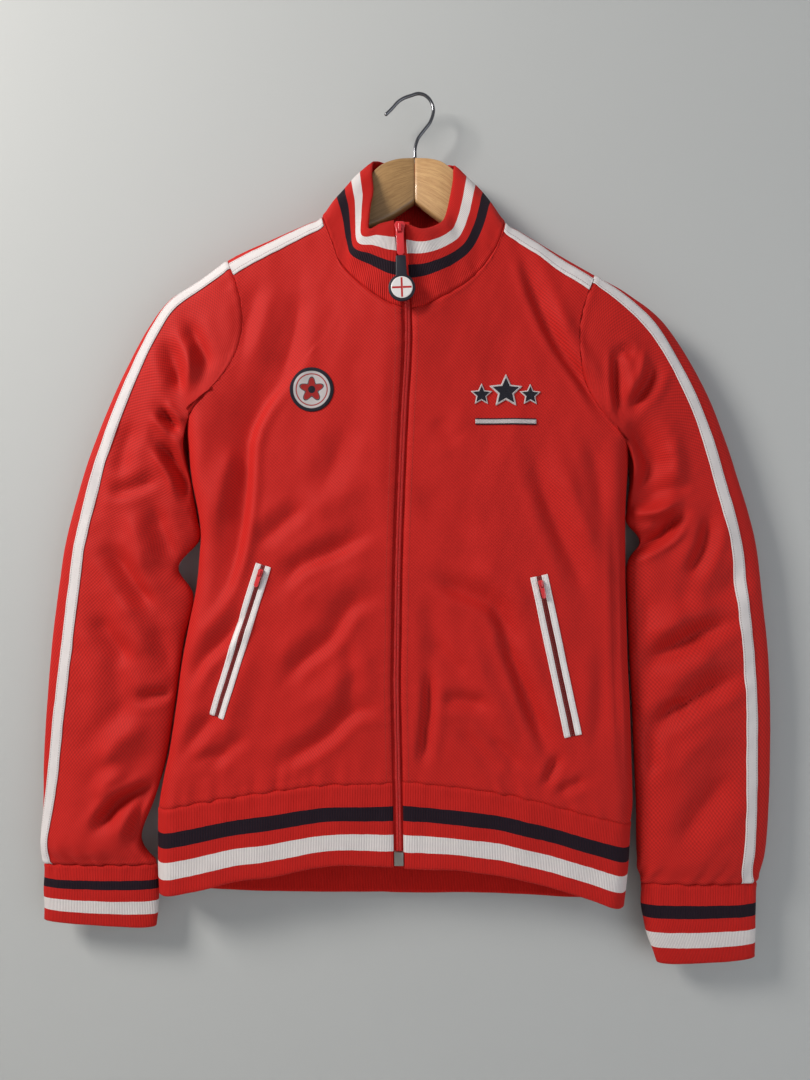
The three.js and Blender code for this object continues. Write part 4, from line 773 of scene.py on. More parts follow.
    def sleeve_points(self, form: SideForm, q: Array, face: Array, r: Array) -> Array:
        """Points of a sleeve.

        Args:
            form: the jacket's side.
            q: place of each column between the outer edge at 0 and the inner edge at 1.
            face: -1 or 1 for each column, as Face gives it.
            r: rows of the sleeve's sections.

        Returns:
            The points, columns first.
        """
        row = form.sleeve.at(r)[None]
        q2, face2 = q[:, None], face[:, None]
        flat = self.bowed(row[..., 0:2], row[..., 2:4], row[..., 4], form.sign, q2)
        x, z = flat[..., 0], flat[..., 1]
        full = superellipse(q2)
        front = creased(form.front_creases, x, z) + rippled(SLEEVE_FRONT_RIPPLES, x, z)
        back = creased(form.back_creases, x, z) + rippled(SLEEVE_BACK_RIPPLES, x, z)
        fold = np.where(face2 < 0, front, back) * full * self.sleeve_folds
        depth = np.where(face2 < 0, row[..., 5], row[..., 6])
        own = row[..., 7] + face2 * depth * full - face2 * fold
        body = np.where(face2 < 0, self.front_y(x, z), self.back_y(x, z))
        return np.stack((x, mix(body, own, ease(r[None] / 3.0)), z), axis=-1)

    def cuff_points(self, form: SideForm, q: Array, face: Array, r: Array) -> Array:
        """Points of a cuff, in the same way."""
        row = form.cuff.at(r)[None]
        q2, face2 = q[:, None], face[:, None]
        x = mix(row[..., 0], row[..., 2], q2)
        z = mix(row[..., 1], row[..., 3], q2)
        y = face2 * row[..., 4] * superellipse(q2)
        return np.stack((x, np.broadcast_to(y, x.shape), z), axis=-1)

    def neck_seam(self, w: Array) -> Array:
        """Neck seam: w runs 0 to 1 on the left front, 1 to 2 behind, 2 to 3 on the right front."""
        left = LEFT.neck.at(np.clip(w, 0.0, 1.0))
        right = RIGHT.neck.at(np.clip(3.0 - w, 0.0, 1.0))
        back = Path(BACK_NECK_LINE).at(np.clip(w - 1.0, 0.0, 1.0))
        front = np.where((w <= 1.5)[..., None], left, right)
        at_back = ((w > 1.0) & (w < 2.0))[..., None]
        return np.where(at_back, self.deep(Face.BACK, back), self.deep(Face.FRONT, front))

    def collar_points(self, w: Array, t: Array) -> Array:
        """Points of the collar from its seam at t 0 to its top at 1."""
        base, top = self.neck_seam(w)[:, None], Curve(COLLAR_TOP).at(w)[:, None]
        points = mix(base, top, t[None, :, None])
        out = unit((points - (self.hanger_x, self.neck_middle_y, 0.0)) * (1.0, 1.0, 0.0))
        swell = self.collar_swell * 4 * t * (1 - t) * (ease(w / 0.5) * ease((3 - w) / 0.5))[:, None]
        return points + out * swell[..., None]

    def hem_points(self, w: Array, t: Array) -> Array:
        """Points of the hem's rib, with w as for the neck seam and t from the seam down."""
        w2, t2 = w[:, None], t[None, :]
        back_top_x = mix(LEFT.hem_fold[0], RIGHT.hem_fold[0], w2 - 1)
        back_low_x = mix(LEFT.hem_foot[0], RIGHT.hem_foot[0], w2 - 1)
        back_x = mix(back_top_x, back_low_x, t2)
        back_z = mix(Curve(BACK_HEM_TOP).value(back_top_x), Curve(BACK_HEM_BOTTOM).value(back_low_x), t2)
        points = self.deep(Face.BACK, np.stack((back_x, back_z), axis=-1))
        for form, chosen in ((LEFT, w <= 1.0), (RIGHT, w >= 2.0)):
            u = np.clip(w if form is LEFT else 3.0 - w, 0.0, 1.0)
            top = self.front_bottom(form, u)[:, None]
            low_x = mix(self.centre_x(self.zip_foot) + form.sign * self.half_zip, form.hem_foot[0], u)
            low = np.stack((low_x, form.hem_bottom.value(low_x)), axis=-1)[:, None]
            own = self.deep(Face.FRONT, mix(top, low, t[None, :, None]))
            points = np.where(chosen[:, None, None], own, points)
        return points

    def zip_y(self, z: Array) -> Array:
        """Y of the cloth's face along the zip, up into the collar."""
        ends = self.neck_seam(np.array((0.0, 3.0)))
        up = (z - self.collar_foot_z) / (self.collar_head_z - self.collar_foot_z)
        top = COLLAR_TOP[0][2]
        return np.where(up > 0, mix(ends[:, 1].mean(), top, up), self.front_y(self.centre_x(z), z))


# How a hard piece's edges are rounded: angles that count as flat, as sharp and as smooth
FLAT_ANGLE, SHARP_ANGLE, SMOOTH_ANGLE = math.radians(2), math.radians(22), math.radians(35)
BEVEL_FACES = 3


def linear(colour: Colour) -> tuple[float, float, float, float]:
    """An sRGB colour of 0 to 255 as the linear RGBA that shaders take."""
    shares = [value / 255.0 for value in colour]
    held = [s / 12.92 if s <= 0.04045 else ((s + 0.055) / 1.055) ** 2.4 for s in shares]
    return (*held, 1.0)


@dataclass
class SurfaceMesh:
    """A sheet of cloth as a grid of points, made into a closed thin shell with a round rim.

    "maps" are named pairs of values in mm for each point; a ring's maps hold one column more.
    """

    name: str
    points: Array
    thick: float
    outward: Callable[[Array], Array]
    ring: bool = False
    maps: dict[str, Array] = field(default_factory=dict)
    inner: Array | None = None
    rim: float = 0.45

    def __post_init__(self) -> None:
        """Finds the normals and turns them outward."""
        across = self.difference(0)
        up = self.difference(1)
        normals = unit(np.cross(across, up))
        aside = self.outward(self.points)
        self.normals = -normals if float((normals * aside).sum()) < 0.0 else normals

    def difference(self, axis: int) -> Array:
        """Steps between neighbours along one axis of the grid."""
        if axis == 0 and self.ring:
            return np.roll(self.points, -1, axis=0) - np.roll(self.points, 1, axis=0)
        return np.gradient(self.points, axis=axis)

    def pushed(self, by: Array | float) -> None:
        """Moves the points outward, by mm."""
        self.points = self.points + self.normals * np.broadcast_to(by, self.points.shape[:2])[..., None]

    def borders(self) -> list[tuple[Array, Array]]:
        """Border loops: for each, the columns and rows of its points and of their neighbours inside."""
        n, m = self.points.shape[:2]
        columns, rows = np.arange(n), np.arange(m)
        if self.ring:
            return [(np.stack((columns, np.full(n, row)), axis=1),
                     np.stack((columns, np.full(n, inside)), axis=1))
                    for row, inside in ((0, 1), (m - 1, m - 2))]
        place = np.concatenate((
            np.stack((columns[:-1], np.zeros(n - 1, int)), axis=1),
            np.stack((np.full(m - 1, n - 1), rows[:-1]), axis=1),
            np.stack((columns[:0:-1], np.full(n - 1, m - 1)), axis=1),
            np.stack((np.zeros(m - 1, int), rows[:0:-1]), axis=1),
        ))
        inside = np.clip(place, (1, 1), (n - 2, m - 2))
        return [(place, inside)]

    def build(self, materials: Sequence[bpy.types.Material]) -> bpy.types.Object:
        """Makes the shell.

        Args:
            materials: the outer side's, then the inner side's if it differs.

        Returns:
            The new object, in metres.
        """
        n, m = self.points.shape[:2]
        inner = self.points - self.normals * self.thick if self.inner is None else self.inner
        vertices = [self.points.reshape(-1, 3), inner.reshape(-1, 3)]
        wide = n + 1 if self.ring else n
        corner_map = {name: values.reshape(-1, 2) for name, values in self.maps.items()}
        column, row = np.meshgrid(np.arange(wide - 1), np.arange(m - 1), indexing="ij")
        column, row = column.ravel(), row.ravel()
        shifts = ((0, 0), (1, 0), (1, 1), (0, 1))
        outer_faces = np.stack([((column + a) % n) * m + row + b for a, b in shifts], axis=1)
        outer_corners = np.stack([(column + a) * m + row + b for a, b in shifts], axis=1)
        inner_faces = outer_faces[:, ::-1] + n * m
        faces = [outer_faces, inner_faces]
        corners = [outer_corners, outer_corners[:, ::-1]]
        slots = [np.zeros(len(outer_faces), int), np.full(len(inner_faces), len(materials) - 1)]
        count = 2 * n * m
        for place, inside in self.borders():
            outer_index = place[:, 0] * m + place[:, 1]
            edge = self.points[place[:, 0], place[:, 1]]
            away = unit(edge - self.points[inside[:, 0], inside[:, 1]])
            under = inner[place[:, 0], place[:, 1]]
            vertices.append((edge + under) / 2 + away * self.thick * self.rim)
            size = len(place)
            here, after = np.arange(size), (np.arange(size) + 1) % size
            middle = count + here
            first = np.stack((outer_index, outer_index[after], middle[after], middle), axis=1)
            second = np.stack((middle, middle[after], outer_index[after] + n * m, outer_index + n * m),
                              axis=1)
            strip = np.stack((outer_index, outer_index[after], outer_index[after], outer_index), axis=1)
            faces += [first, second]
            corners += [strip, strip]
            slots += [np.zeros(2 * size, int)]
            count += size
        mesh = mesh_from(self.name, np.concatenate(vertices), np.concatenate(faces),
                         {name: values[np.concatenate(corners).ravel()]
                          for name, values in corner_map.items()})
        mesh.polygons.foreach_set("material_index", np.concatenate(slots).astype(np.int32))
        turned_out(mesh)
        return shown(self.name, mesh, materials)


def mesh_from(name: str, vertices: Array, faces: Array,
              maps: dict[str, Array]) -> bpy.types.Mesh:
    """A mesh from arrays.

    Args:
        name: its name.
        vertices: points in mm.
        faces: rows of as many corners each.
        maps: values for each face corner, each written as a UV map.

    Returns:
        The mesh, in metres, with smooth faces.
    """
    mesh = bpy.data.meshes.new(name)
    mesh.vertices.add(len(vertices))
    mesh.vertices.foreach_set("co", (vertices * MM).astype(np.float32).ravel())
    sides = faces.shape[1]
    mesh.loops.add(faces.size)
    mesh.loops.foreach_set("vertex_index", faces.astype(np.int32).ravel())
    mesh.polygons.add(len(faces))
    mesh.polygons.foreach_set("loop_start", np.arange(0, faces.size, sides, dtype=np.int32))
    for map_name, values in maps.items():
        layer = mesh.uv_layers.new(name=map_name)
        layer.data.foreach_set("uv", values.astype(np.float32).ravel())
    mesh.update(calc_edges=True)
    mesh.polygons.foreach_set("use_smooth", np.ones(len(faces), dtype=bool))
    return mesh


def turned_out(mesh: bpy.types.Mesh) -> None:
    """Turns all the faces of a closed mesh outward."""
    work = bmesh.new()
    work.from_mesh(mesh)
    bmesh.ops.recalc_face_normals(work, faces=work.faces)
    work.to_mesh(mesh)
    work.free()


def shown(name: str, mesh: bpy.types.Mesh, materials: Sequence[bpy.types.Material]) -> bpy.types.Object:
    """Puts a mesh into the scene with its materials, under a name of its own."""
    for material in materials:
        mesh.materials.append(material)
    piece = bpy.data.objects.new(f"{name}_made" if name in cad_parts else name, mesh)
    bpy.context.scene.collection.objects.link(piece)
    return piece


def bevelled_copy(node: str, material: bpy.types.Material, radius: float) -> bpy.types.Object:
    """A copy of a hard CAD node with rounded edges, which then stands for the node.

    Args:
        node: the CAD node.
        material: its finish.
        radius: how round the edges are, in mm.

    Returns:
        The new piece, in the node's own place.
    """
    work = bmesh.new()
    work.from_mesh(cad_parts[node].data)
    bmesh.ops.remove_doubles(work, verts=work.verts, dist=1e-6)
    bmesh.ops.dissolve_limit(work, angle_limit=FLAT_ANGLE, verts=work.verts, edges=work.edges)
    sharp = [edge for edge in work.edges
             if edge.is_manifold and edge.calc_face_angle(0.0) > SHARP_ANGLE]
    bmesh.ops.bevel(work, geom=sharp, offset=radius * MM, segments=BEVEL_FACES, profile=0.5,
                    affect="EDGES", clamp_overlap=True)
    bmesh.ops.triangulate(work, faces=[face for face in work.faces if len(face.verts) > 4])
    mesh = bpy.data.meshes.new(node)
    work.to_mesh(mesh)
    work.free()
    mesh.polygons.foreach_set("use_smooth", np.ones(len(mesh.polygons), dtype=bool))
    mesh.set_sharp_from_angle(angle=SMOOTH_ANGLE)
    piece = shown(node, mesh, (material,))
    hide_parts(node)
    return piece


def arc(points: Array, axis: int, closed: bool = False) -> Array:
    """Lengths along one axis of a grid of points, from 0 at the start.

    Args:
        points: the grid.
        axis: 0 along its columns or 1 along its rows.
        closed: whether a last length back to the start is added, along axis 0.

    Returns:
        The lengths at each point.
    """
    if closed:
        points = np.concatenate((points, points[:1]), axis=0)
    steps = np.linalg.norm(np.diff(points, axis=axis), axis=-1)
    start = np.zeros_like(np.take(steps, [0], axis=axis))
    return np.concatenate((start, np.cumsum(steps, axis=axis)), axis=axis)


def tube_map(points: Array, height: float) -> Array:
    """Map of a tube: the length round it at mid height, and the distance from its first row."""
    around = arc(points, 0, closed=True)[:, points.shape[1] // 2]
    down = np.linspace(0.0, height, points.shape[1])
    return np.stack(np.broadcast_arrays(around[:, None], down[None]), axis=-1)


def quarter(count: int) -> Array:
    """Angles of a quarter turn in even steps, without the first."""
    return np.linspace(0.0, np.pi / 2, count + 1)[1:]


def word(side: Side) -> str:
    """"left" or "right", as in the CAD nodes' names."""
    return side.name.lower()


@dataclass(frozen=True)
class Seam:
    """A sewn line: how deep the cloth sinks at it and how wide, and how it swells beside it."""

    depth: float
    half: float = 1.2
    swell: float = 0.5
    swell_at: float = 4.0
    swell_half: float = 2.5

    def at(self, distance: Array) -> Array:
        """Height of the cloth at distances from the seam."""
        beside = self.swell * np.exp(-(((distance - self.swell_at) / self.swell_half) ** 2))
        return beside - self.depth * np.exp(-((distance / self.half) ** 2))


@dataclass(frozen=True)
class Gathers:
    """Small folds that run away from a gathered seam: height, pitch and reach in mm."""

    height: float
    pitch: float
    reach: float
    waves: int = 5

    def at(self, along: Array, distance: Array, seed: int) -> Array:
        """Height of the folds.

        Args:
            along: lengths along the seam.
            distance: distances from it.
            seed: which folds.

        Returns:
            Their height, full at the seam.
        """
        draw = np.random.default_rng(seed)
        total = np.zeros(np.broadcast(along, distance).shape)
        for _ in range(self.waves):
            length, phase = self.pitch * draw.uniform(0.6, 1.7), draw.uniform(0, 6.28)
            lean = draw.uniform(-0.3, 0.3)
            total = total + np.sin((along + lean * distance) * 2 * np.pi / length + phase)
        return self.height * total / 2.3 * np.exp(-((distance / self.reach) ** 1.5))


def along_line(points: Array, values: Array, places: Array) -> Array:
    """Values of a polyline at some lengths along it.

    Args:
        points: the polyline's points.
        values: what belongs to each point.
        places: lengths from the first point.

    Returns:
        The values at those lengths.
    """
    steps = np.linalg.norm(np.diff(points, axis=0), axis=1)
    length = np.concatenate(([0.0], np.cumsum(steps)))
    return np.stack([np.interp(places, length, values[:, c]) for c in range(values.shape[1])], axis=-1)


def along_lines(grids: Sequence[tuple[Array, Array]], places: Sequence[Array]
                ) -> tuple[Array, Array]:
    """Points and normals at some lengths along each of several lines.

    Args:
        grids: for each line, its points and their normals.
        places: for each line, lengths from its first point.

    Returns:
        The points and the normals, a row for each line.
    """
    bases = [along_line(line, line, at) for (line, _), at in zip(grids, places)]
    normals = [unit(along_line(line, stand, at)) for (line, stand), at in zip(grids, places)]
    return np.array(bases), np.array(normals)


def strip_on(name: str, bases: Array, normals: Array, lift: float, thick: float,
             crown: float = 0.0) -> SurfaceMesh:
    """A strip that lies on a surface.

    Args:
        name: its name.
        bases: points of the surface, along the strip and across it.
        normals: the surface's normals there.
        lift: how far over the surface it lies.
        thick: its thickness.
        crown: how much thicker it is along its middle.

    Returns:
        The strip, with a map of mm along and across it.
    """
    share = np.linspace(-1.0, 1.0, bases.shape[1])[None, :, None]
    low = bases + normals * lift
    high = bases + normals * (lift + thick + crown * (1.0 - share**4))
    run = arc(bases, 0).mean(axis=1)[:, None]
    wide = arc(bases, 1).mean(axis=0)[None, :]
    mapped = np.stack(np.broadcast_arrays(run, wide), axis=-1)
    return SurfaceMesh(name, high, thick, lambda _: normals, maps={"cloth": mapped}, inner=low)


class Tree:
    """Adds nodes to one node tree and joins them."""

    def __init__(self, tree: bpy.types.NodeTree) -> None:
        """Takes the tree that the nodes go into."""
        self.tree = tree

    def add(self, kind: str, inputs: dict[str | int, object] | None = None, **settings: object
            ) -> bpy.types.Node:
        """Adds a node.

        Args:
            kind: its type, without the leading "ShaderNode".
            inputs: values or sockets for its inputs, by name or number.
            settings: its own properties.

        Returns:
            The node.
        """
        node = self.tree.nodes.new(kind if kind.startswith("NodeGroup") else f"ShaderNode{kind}")
        for key, value in settings.items():
            setattr(node, key, value)
        for key, value in (inputs or {}).items():
            self.feed(node.inputs[key], value)
        return node

    def feed(self, socket: Socket, value: object) -> None:
        """Links a socket to an input, or sets the input's value."""
        if isinstance(value, Socket):
            self.tree.links.new(value, socket)
        else:
            socket.default_value = value

    def math(self, operation: str, first: object, second: object = 0.0, third: object = 0.0
             ) -> Socket:
        """Output of a Math node."""
        node = self.add("Math", {0: first, 1: second, 2: third}, operation=operation)
        return node.outputs[0]

    def blend(self, share: object, first: object, second: object) -> Socket:
        """Output of a Mix node for colours."""
        node = self.add("Mix", data_type="RGBA")
        for index, value in ((0, share), (6, first), (7, second)):
            self.feed(node.inputs[index], value)
        return node.outputs[2]

    def band(self, value: object, low: float, high: float, soft: float) -> Socket:
        """1 where a value lies between two limits, with soft edges."""
        rise = self.add("MapRange", {0: value, 1: low - soft, 2: low + soft}).outputs[0]
        fall = self.add("MapRange", {0: value, 1: high - soft, 2: high + soft}).outputs[0]
        return self.math("SUBTRACT", rise, fall)

    def place(self, name: str = "cloth") -> tuple[Socket, Socket]:
        """The two values of one of the piece's maps."""
        parts = self.add("SeparateXYZ", {0: self.add("UVMap", uv_map=name).outputs[0]})
        return parts.outputs[0], parts.outputs[1]

    def group(self, group: bpy.types.NodeTree, **inputs: object) -> bpy.types.Node:
        """Places a node group, with its inputs by name."""
        node = self.tree.nodes.new("ShaderNodeGroup")
        node.node_tree = group
        for key, value in inputs.items():
            self.feed(node.inputs[key.replace("_", " ").capitalize()], value)
        return node


class Effects:
    """Shader groups that several finishes share."""

    def __init__(self) -> None:
        """Builds every group once."""
        self.knit = self.knit_group()
        self.rib = self.rib_group()
        self.twill = self.twill_group()
        self.tone = self.tone_group()
        self.stitches = self.stitch_group()

    def new(self, name: str, inputs: dict[str, float], outputs: Sequence[str]
            ) -> tuple[Tree, dict[str, Socket], bpy.types.Node]:
        """Starts a group.

        Args:
            name: the group's name.
            inputs: its float inputs and their usual values.
            outputs: its float outputs.

        Returns:
            The tree, the inputs' sockets by name, and the output node.
        """
        tree = bpy.data.node_groups.new(name, "ShaderNodeTree")
        for key, value in inputs.items():
            socket = tree.interface.new_socket(key, in_out="INPUT", socket_type="NodeSocketFloat")
            socket.default_value = value
        for key in outputs:
            tree.interface.new_socket(key, in_out="OUTPUT", socket_type="NodeSocketFloat")
        start = tree.nodes.new("NodeGroupInput")
        end = tree.nodes.new("NodeGroupOutput")
        return Tree(tree), {key: start.outputs[key] for key in inputs}, end

    def wave(self, tree: Tree, value: object, pitch: object) -> Socket:
        """A wave from 0 to 1 with the given pitch."""
        turns = tree.math("MULTIPLY", tree.math("DIVIDE", value, pitch), 2.0 * math.pi)
        return tree.math("MULTIPLY_ADD", tree.math("SINE", turns), 0.5, 0.5)

    def knit_group(self) -> bpy.types.NodeTree:
        """Fine pique: small diamonds, stronger along one diagonal."""
        tree, given, end = self.new("Fine knit", {"Across": 0.0, "Up": 0.0, "Pitch": 3.4},
                                    ("Threads", "Height"))
        down = self.wave(tree, tree.math("ADD", given["Across"], given["Up"]), given["Pitch"])
        rise = self.wave(tree, tree.math("SUBTRACT", given["Across"], given["Up"]), given["Pitch"])
        loops = tree.math("MULTIPLY_ADD", rise, 0.36, tree.math("MULTIPLY", down, 0.64))
        tree.feed(end.inputs["Threads"], loops)
        tree.feed(end.inputs["Height"], loops)
        return tree.tree

    def rib_group(self) -> bpy.types.NodeTree:
        """Rib knit: round columns with fine loops up each one."""
        tree, given, end = self.new("Rib knit", {"Across": 0.0, "Up": 0.0, "Pitch": 1.7},
                                    ("Grooves", "Height"))
        column = self.wave(tree, given["Across"], given["Pitch"])
        round_top = tree.math("POWER", column, 0.6)
        loops = self.wave(tree, given["Up"], 1.1)
        tree.feed(end.inputs["Grooves"], tree.math("SUBTRACT", 1.0, round_top))
        tree.feed(end.inputs["Height"], tree.math("MULTIPLY_ADD", loops, 0.12, round_top))
        return tree.tree

    def twill_group(self) -> bpy.types.NodeTree:
        """Woven tape: fine diagonal cords."""
        tree, given, end = self.new("Tape twill", {"Across": 0.0, "Up": 0.0, "Pitch": 1.1},
                                    ("Threads", "Height"))
        cords = self.wave(tree, tree.math("ADD", given["Across"], given["Up"]), given["Pitch"])
        picks = self.wave(tree, given["Up"], tree.math("MULTIPLY", given["Pitch"], 0.6))
        tree.feed(end.inputs["Threads"], cords)
        tree.feed(end.inputs["Height"], tree.math("MULTIPLY_ADD", picks, 0.3, cords))
        return tree.tree

    def tone_group(self) -> bpy.types.NodeTree:
        """Uneven tone of dyed cloth and worn surfaces, from -1 to 1, at two scales."""
        tree, given, end = self.new("Uneven tone", {"Coarse": 9.0, "Fine": 160.0}, ("Tone",))
        place = tree.add("TexCoord").outputs["Object"]
        coarse = tree.add("TexNoise", {"Vector": place, "Scale": given["Coarse"], "Detail": 3.0})
        fine = tree.add("TexNoise", {"Vector": place, "Scale": given["Fine"], "Detail": 2.0})
        low = tree.math("MULTIPLY_ADD", coarse.outputs[0], 2.6, -1.3)
        high = tree.math("MULTIPLY_ADD", fine.outputs[0], 1.2, -0.6)
        tree.feed(end.inputs["Tone"], tree.math("ADD", low, high))
        return tree.tree

    def stitch_group(self) -> bpy.types.NodeTree:
        """A line of stitches at one distance from an edge."""
        tree, given, end = self.new(
            "Stitch line", {"Along": 0.0, "Distance": 0.0, "Place": 5.0, "Length": 2.6, "Width": 0.45},
            ("Thread", "Height"))
        off = tree.math("ABSOLUTE", tree.math("SUBTRACT", given["Distance"], given["Place"]))
        inside = tree.math("SUBTRACT", 1.0, tree.math("DIVIDE", off, given["Width"]))
        line = tree.math("MAXIMUM", inside, 0.0)
        dash = tree.math("GREATER_THAN", self.wave(tree, given["Along"], given["Length"]), 0.22)
        thread = tree.math("MULTIPLY", tree.math("GREATER_THAN", line, 0.05), dash)
        groove = tree.math("MULTIPLY", tree.math("SUBTRACT", thread, 0.6), line)
        tree.feed(end.inputs["Thread"], thread)
        tree.feed(end.inputs["Height"], groove)
        return tree.tree


@dataclass(frozen=True)
class Finish:
    """What all finishes share: a name, a colour, how rough it is and how much its tone varies."""

    name: str
    colour: Colour
    roughness: float = 0.7
    uneven: float = 0.05
    metallic: float = 0.0
    gloss: float = 0.5
    coat: float = 0.0
    bump: float = 0.0002

    def start(self) -> tuple[Tree, bpy.types.Node]:
        """Starts the material and gives its tree and its shader node."""
        material = bpy.data.materials.new(f"{self.name}_finish")
        material.use_nodes = True
        tree = Tree(material.node_tree)
        shader = material.node_tree.nodes["Principled BSDF"]
        for key, value in (("Roughness", self.roughness), ("Metallic", self.metallic),
                           ("Specular IOR Level", self.gloss), ("Coat Weight", self.coat)):
            shader.inputs[key].default_value = value
        return tree, shader

    def toned(self, tree: Tree, effects: Effects, colour: object) -> Socket:
        """The colour made a little uneven."""
        tone = tree.group(effects.tone).outputs[0]
        shift = tree.math("MULTIPLY_ADD", tone, self.uneven, 1.0)
        node = tree.add("HueSaturation", {"Value": shift, "Color": colour})
        return node.outputs[0]

    def bumped(self, tree: Tree, shader: bpy.types.Node, height: object, strength: float = 1.0) -> None:
        """Feeds a height into the shader's normal."""
        bump = tree.add("Bump", {"Height": height, "Distance": self.bump, "Strength": strength})
        tree.feed(shader.inputs["Normal"], bump.outputs[0])

    def finished(self, tree: Tree, shader: bpy.types.Node, effects: Effects, colour: object,
                 height: object) -> bpy.types.Material:
        """Joins colour and height to the shader and gives the material."""
        tree.feed(shader.inputs["Base Color"], self.toned(tree, effects, colour))
        self.bumped(tree, shader, height)
        return bpy.data.materials[f"{self.name}_finish"]


@dataclass(frozen=True)
class Jersey(Finish):
    """Fine polyester double knit, with an optional line of stitches along one edge."""

    dark: Colour = (120, 18, 16)
    thread: Colour = (198, 58, 50)
    stitch_at: float = 0.0

    def make(self, effects: Effects) -> bpy.types.Material:
        """Makes the material."""
        tree, shader = self.start()
        across, up = tree.place()
        knit = tree.group(effects.knit, across=across, up=up, pitch=3.4)
        colour = tree.blend(tree.math("MULTIPLY", tree.math("SUBTRACT", 1.0, knit.outputs[0]), 0.56),
                            linear(self.colour), linear(self.dark))
        height = knit.outputs["Height"]
        if self.stitch_at:
            distance, along = tree.place("edge")
            line = tree.group(effects.stitches, along=along, distance=distance, place=self.stitch_at)
            colour = tree.blend(tree.math("MULTIPLY", line.outputs[0], 0.5), colour, linear(self.thread))
            height = tree.math("MULTIPLY_ADD", line.outputs["Height"], 4.0, height)
        return self.finished(tree, shader, effects, colour, height)


@dataclass(frozen=True)
class StripedRib(Finish):
    """Rib knit with stripes of yarn, listed from the map's start as (dye, height in mm), with painted shade
    in its grooves.
    """

    stripes: tuple[tuple[Dye, float], ...] = ()
    # Painted shade: the colour that the grooves between the rib's columns are darkened towards.
    dark: Colour = (70, 12, 12)
    pitch: float = 1.7

    def make(self, effects: Effects) -> bpy.types.Material:
        """Makes the material."""
        tree, shader = self.start()
        across, up = tree.place()
        rib = tree.group(effects.rib, across=across, up=up, pitch=self.pitch)
        wander = tree.add("TexNoise", {"Vector": tree.add("TexCoord").outputs["Object"], "Scale": 120.0})
        waved = tree.math("ADD", up, tree.math("MULTIPLY_ADD", wander.outputs[0], 0.8, -0.4))
        total = sum(height for _, height in self.stripes)
        ramp = tree.add("ValToRGB", {0: tree.math("DIVIDE", waved, total)})
        ramp.color_ramp.interpolation = "CONSTANT"
        elements = ramp.color_ramp.elements
        elements.remove(elements[1])
        start = 0.0
        for index, (dye, height) in enumerate(self.stripes):
            element = elements[0] if index == 0 else elements.new(start / total)
            element.color = linear(dye.value)
            start += height
        # Painted shade: the grooves between the columns are darkened, over every stripe.
        shade = tree.math("MULTIPLY", rib.outputs["Grooves"], 0.35)
        colour = tree.blend(shade, ramp.outputs[0], linear(self.dark))
        return self.finished(tree, shader, effects, colour, rib.outputs["Height"])


@dataclass(frozen=True)
class Twill(Finish):
    """Woven tape with a line of stitches near each edge; "wide" is its width."""

    dark: Colour = (176, 160, 160)
    wide: float = 12.0
    inset: float = 1.3
    thread: Colour = (150, 120, 120)

    def make(self, effects: Effects) -> bpy.types.Material:
        """Makes the material."""
        tree, shader = self.start()
        along, across = tree.place()
        twill = tree.group(effects.twill, across=across, up=along, pitch=1.0)
        colour = tree.blend(tree.math("MULTIPLY", tree.math("SUBTRACT", 1.0, twill.outputs[0]), 0.3),
                            linear(self.colour), linear(self.dark))
        height = twill.outputs["Height"]
        for place in (self.inset, self.wide - self.inset):
            line = tree.group(effects.stitches, along=along, distance=across, place=place)
            colour = tree.blend(tree.math("MULTIPLY", line.outputs[0], 0.55), colour, linear(self.thread))
            height = tree.math("MULTIPLY_ADD", line.outputs["Height"], 3.0, height)
        return self.finished(tree, shader, effects, colour, height)


@dataclass(frozen=True)
class Hard(Finish):
    """Lacquered or bare metal, rubber and plastic: fine wear in colour, gloss and surface."""

    wear: float = 0.08

    def make(self, effects: Effects) -> bpy.types.Material:
        """Makes the material."""
        tree, shader = self.start()
        tone = tree.group(effects.tone, coarse=60.0, fine=900.0).outputs[0]
        rough = tree.math("MULTIPLY_ADD", tone, self.wear, self.roughness)
        tree.feed(shader.inputs["Roughness"], rough)
        return self.finished(tree, shader, effects, linear(self.colour), tone)


@dataclass(frozen=True)
class Wood(Finish):
    """Varnished wood: long grain that follows each arm, with darker pores."""

    dark: Colour = (158, 108, 62)

    def make(self, effects: Effects) -> bpy.types.Material:
        """Makes the material."""
        tree, shader = self.start()
        along, across = tree.place()
        stretched = tree.add("CombineXYZ", {0: tree.math("MULTIPLY", along, 0.012),
                                            1: tree.math("MULTIPLY", across, 0.22)})
        grain = tree.add("TexNoise", {"Vector": stretched.outputs[0], "Scale": 1.6, "Detail": 5.0,
                                      "Distortion": 0.6})
        rings = tree.math("PINGPONG", tree.math("MULTIPLY", grain.outputs[0], 9.0), 1.0)
        pores = tree.add("CombineXYZ", {0: tree.math("MULTIPLY", along, 0.08),
                                        1: tree.math("MULTIPLY", across, 2.4)})
        fleck = tree.add("TexNoise", {"Vector": pores.outputs[0], "Scale": 1.5, "Detail": 2.0})
        spots = tree.add("MapRange", {0: fleck.outputs[0], 1: 0.56, 2: 0.72}).outputs[0]
        shade = tree.math("MULTIPLY_ADD", rings, 0.45, tree.math("MULTIPLY", spots, 0.5))
        colour = tree.blend(shade, linear(self.colour), linear(self.dark))
        return self.finished(tree, shader, effects, colour, shade)


class Motif(Enum):
    """What an embroidered badge shows."""

    BLOSSOM = "blossom"
    STAR = "star"
    BAR = "bar"
    CROSS = "cross"


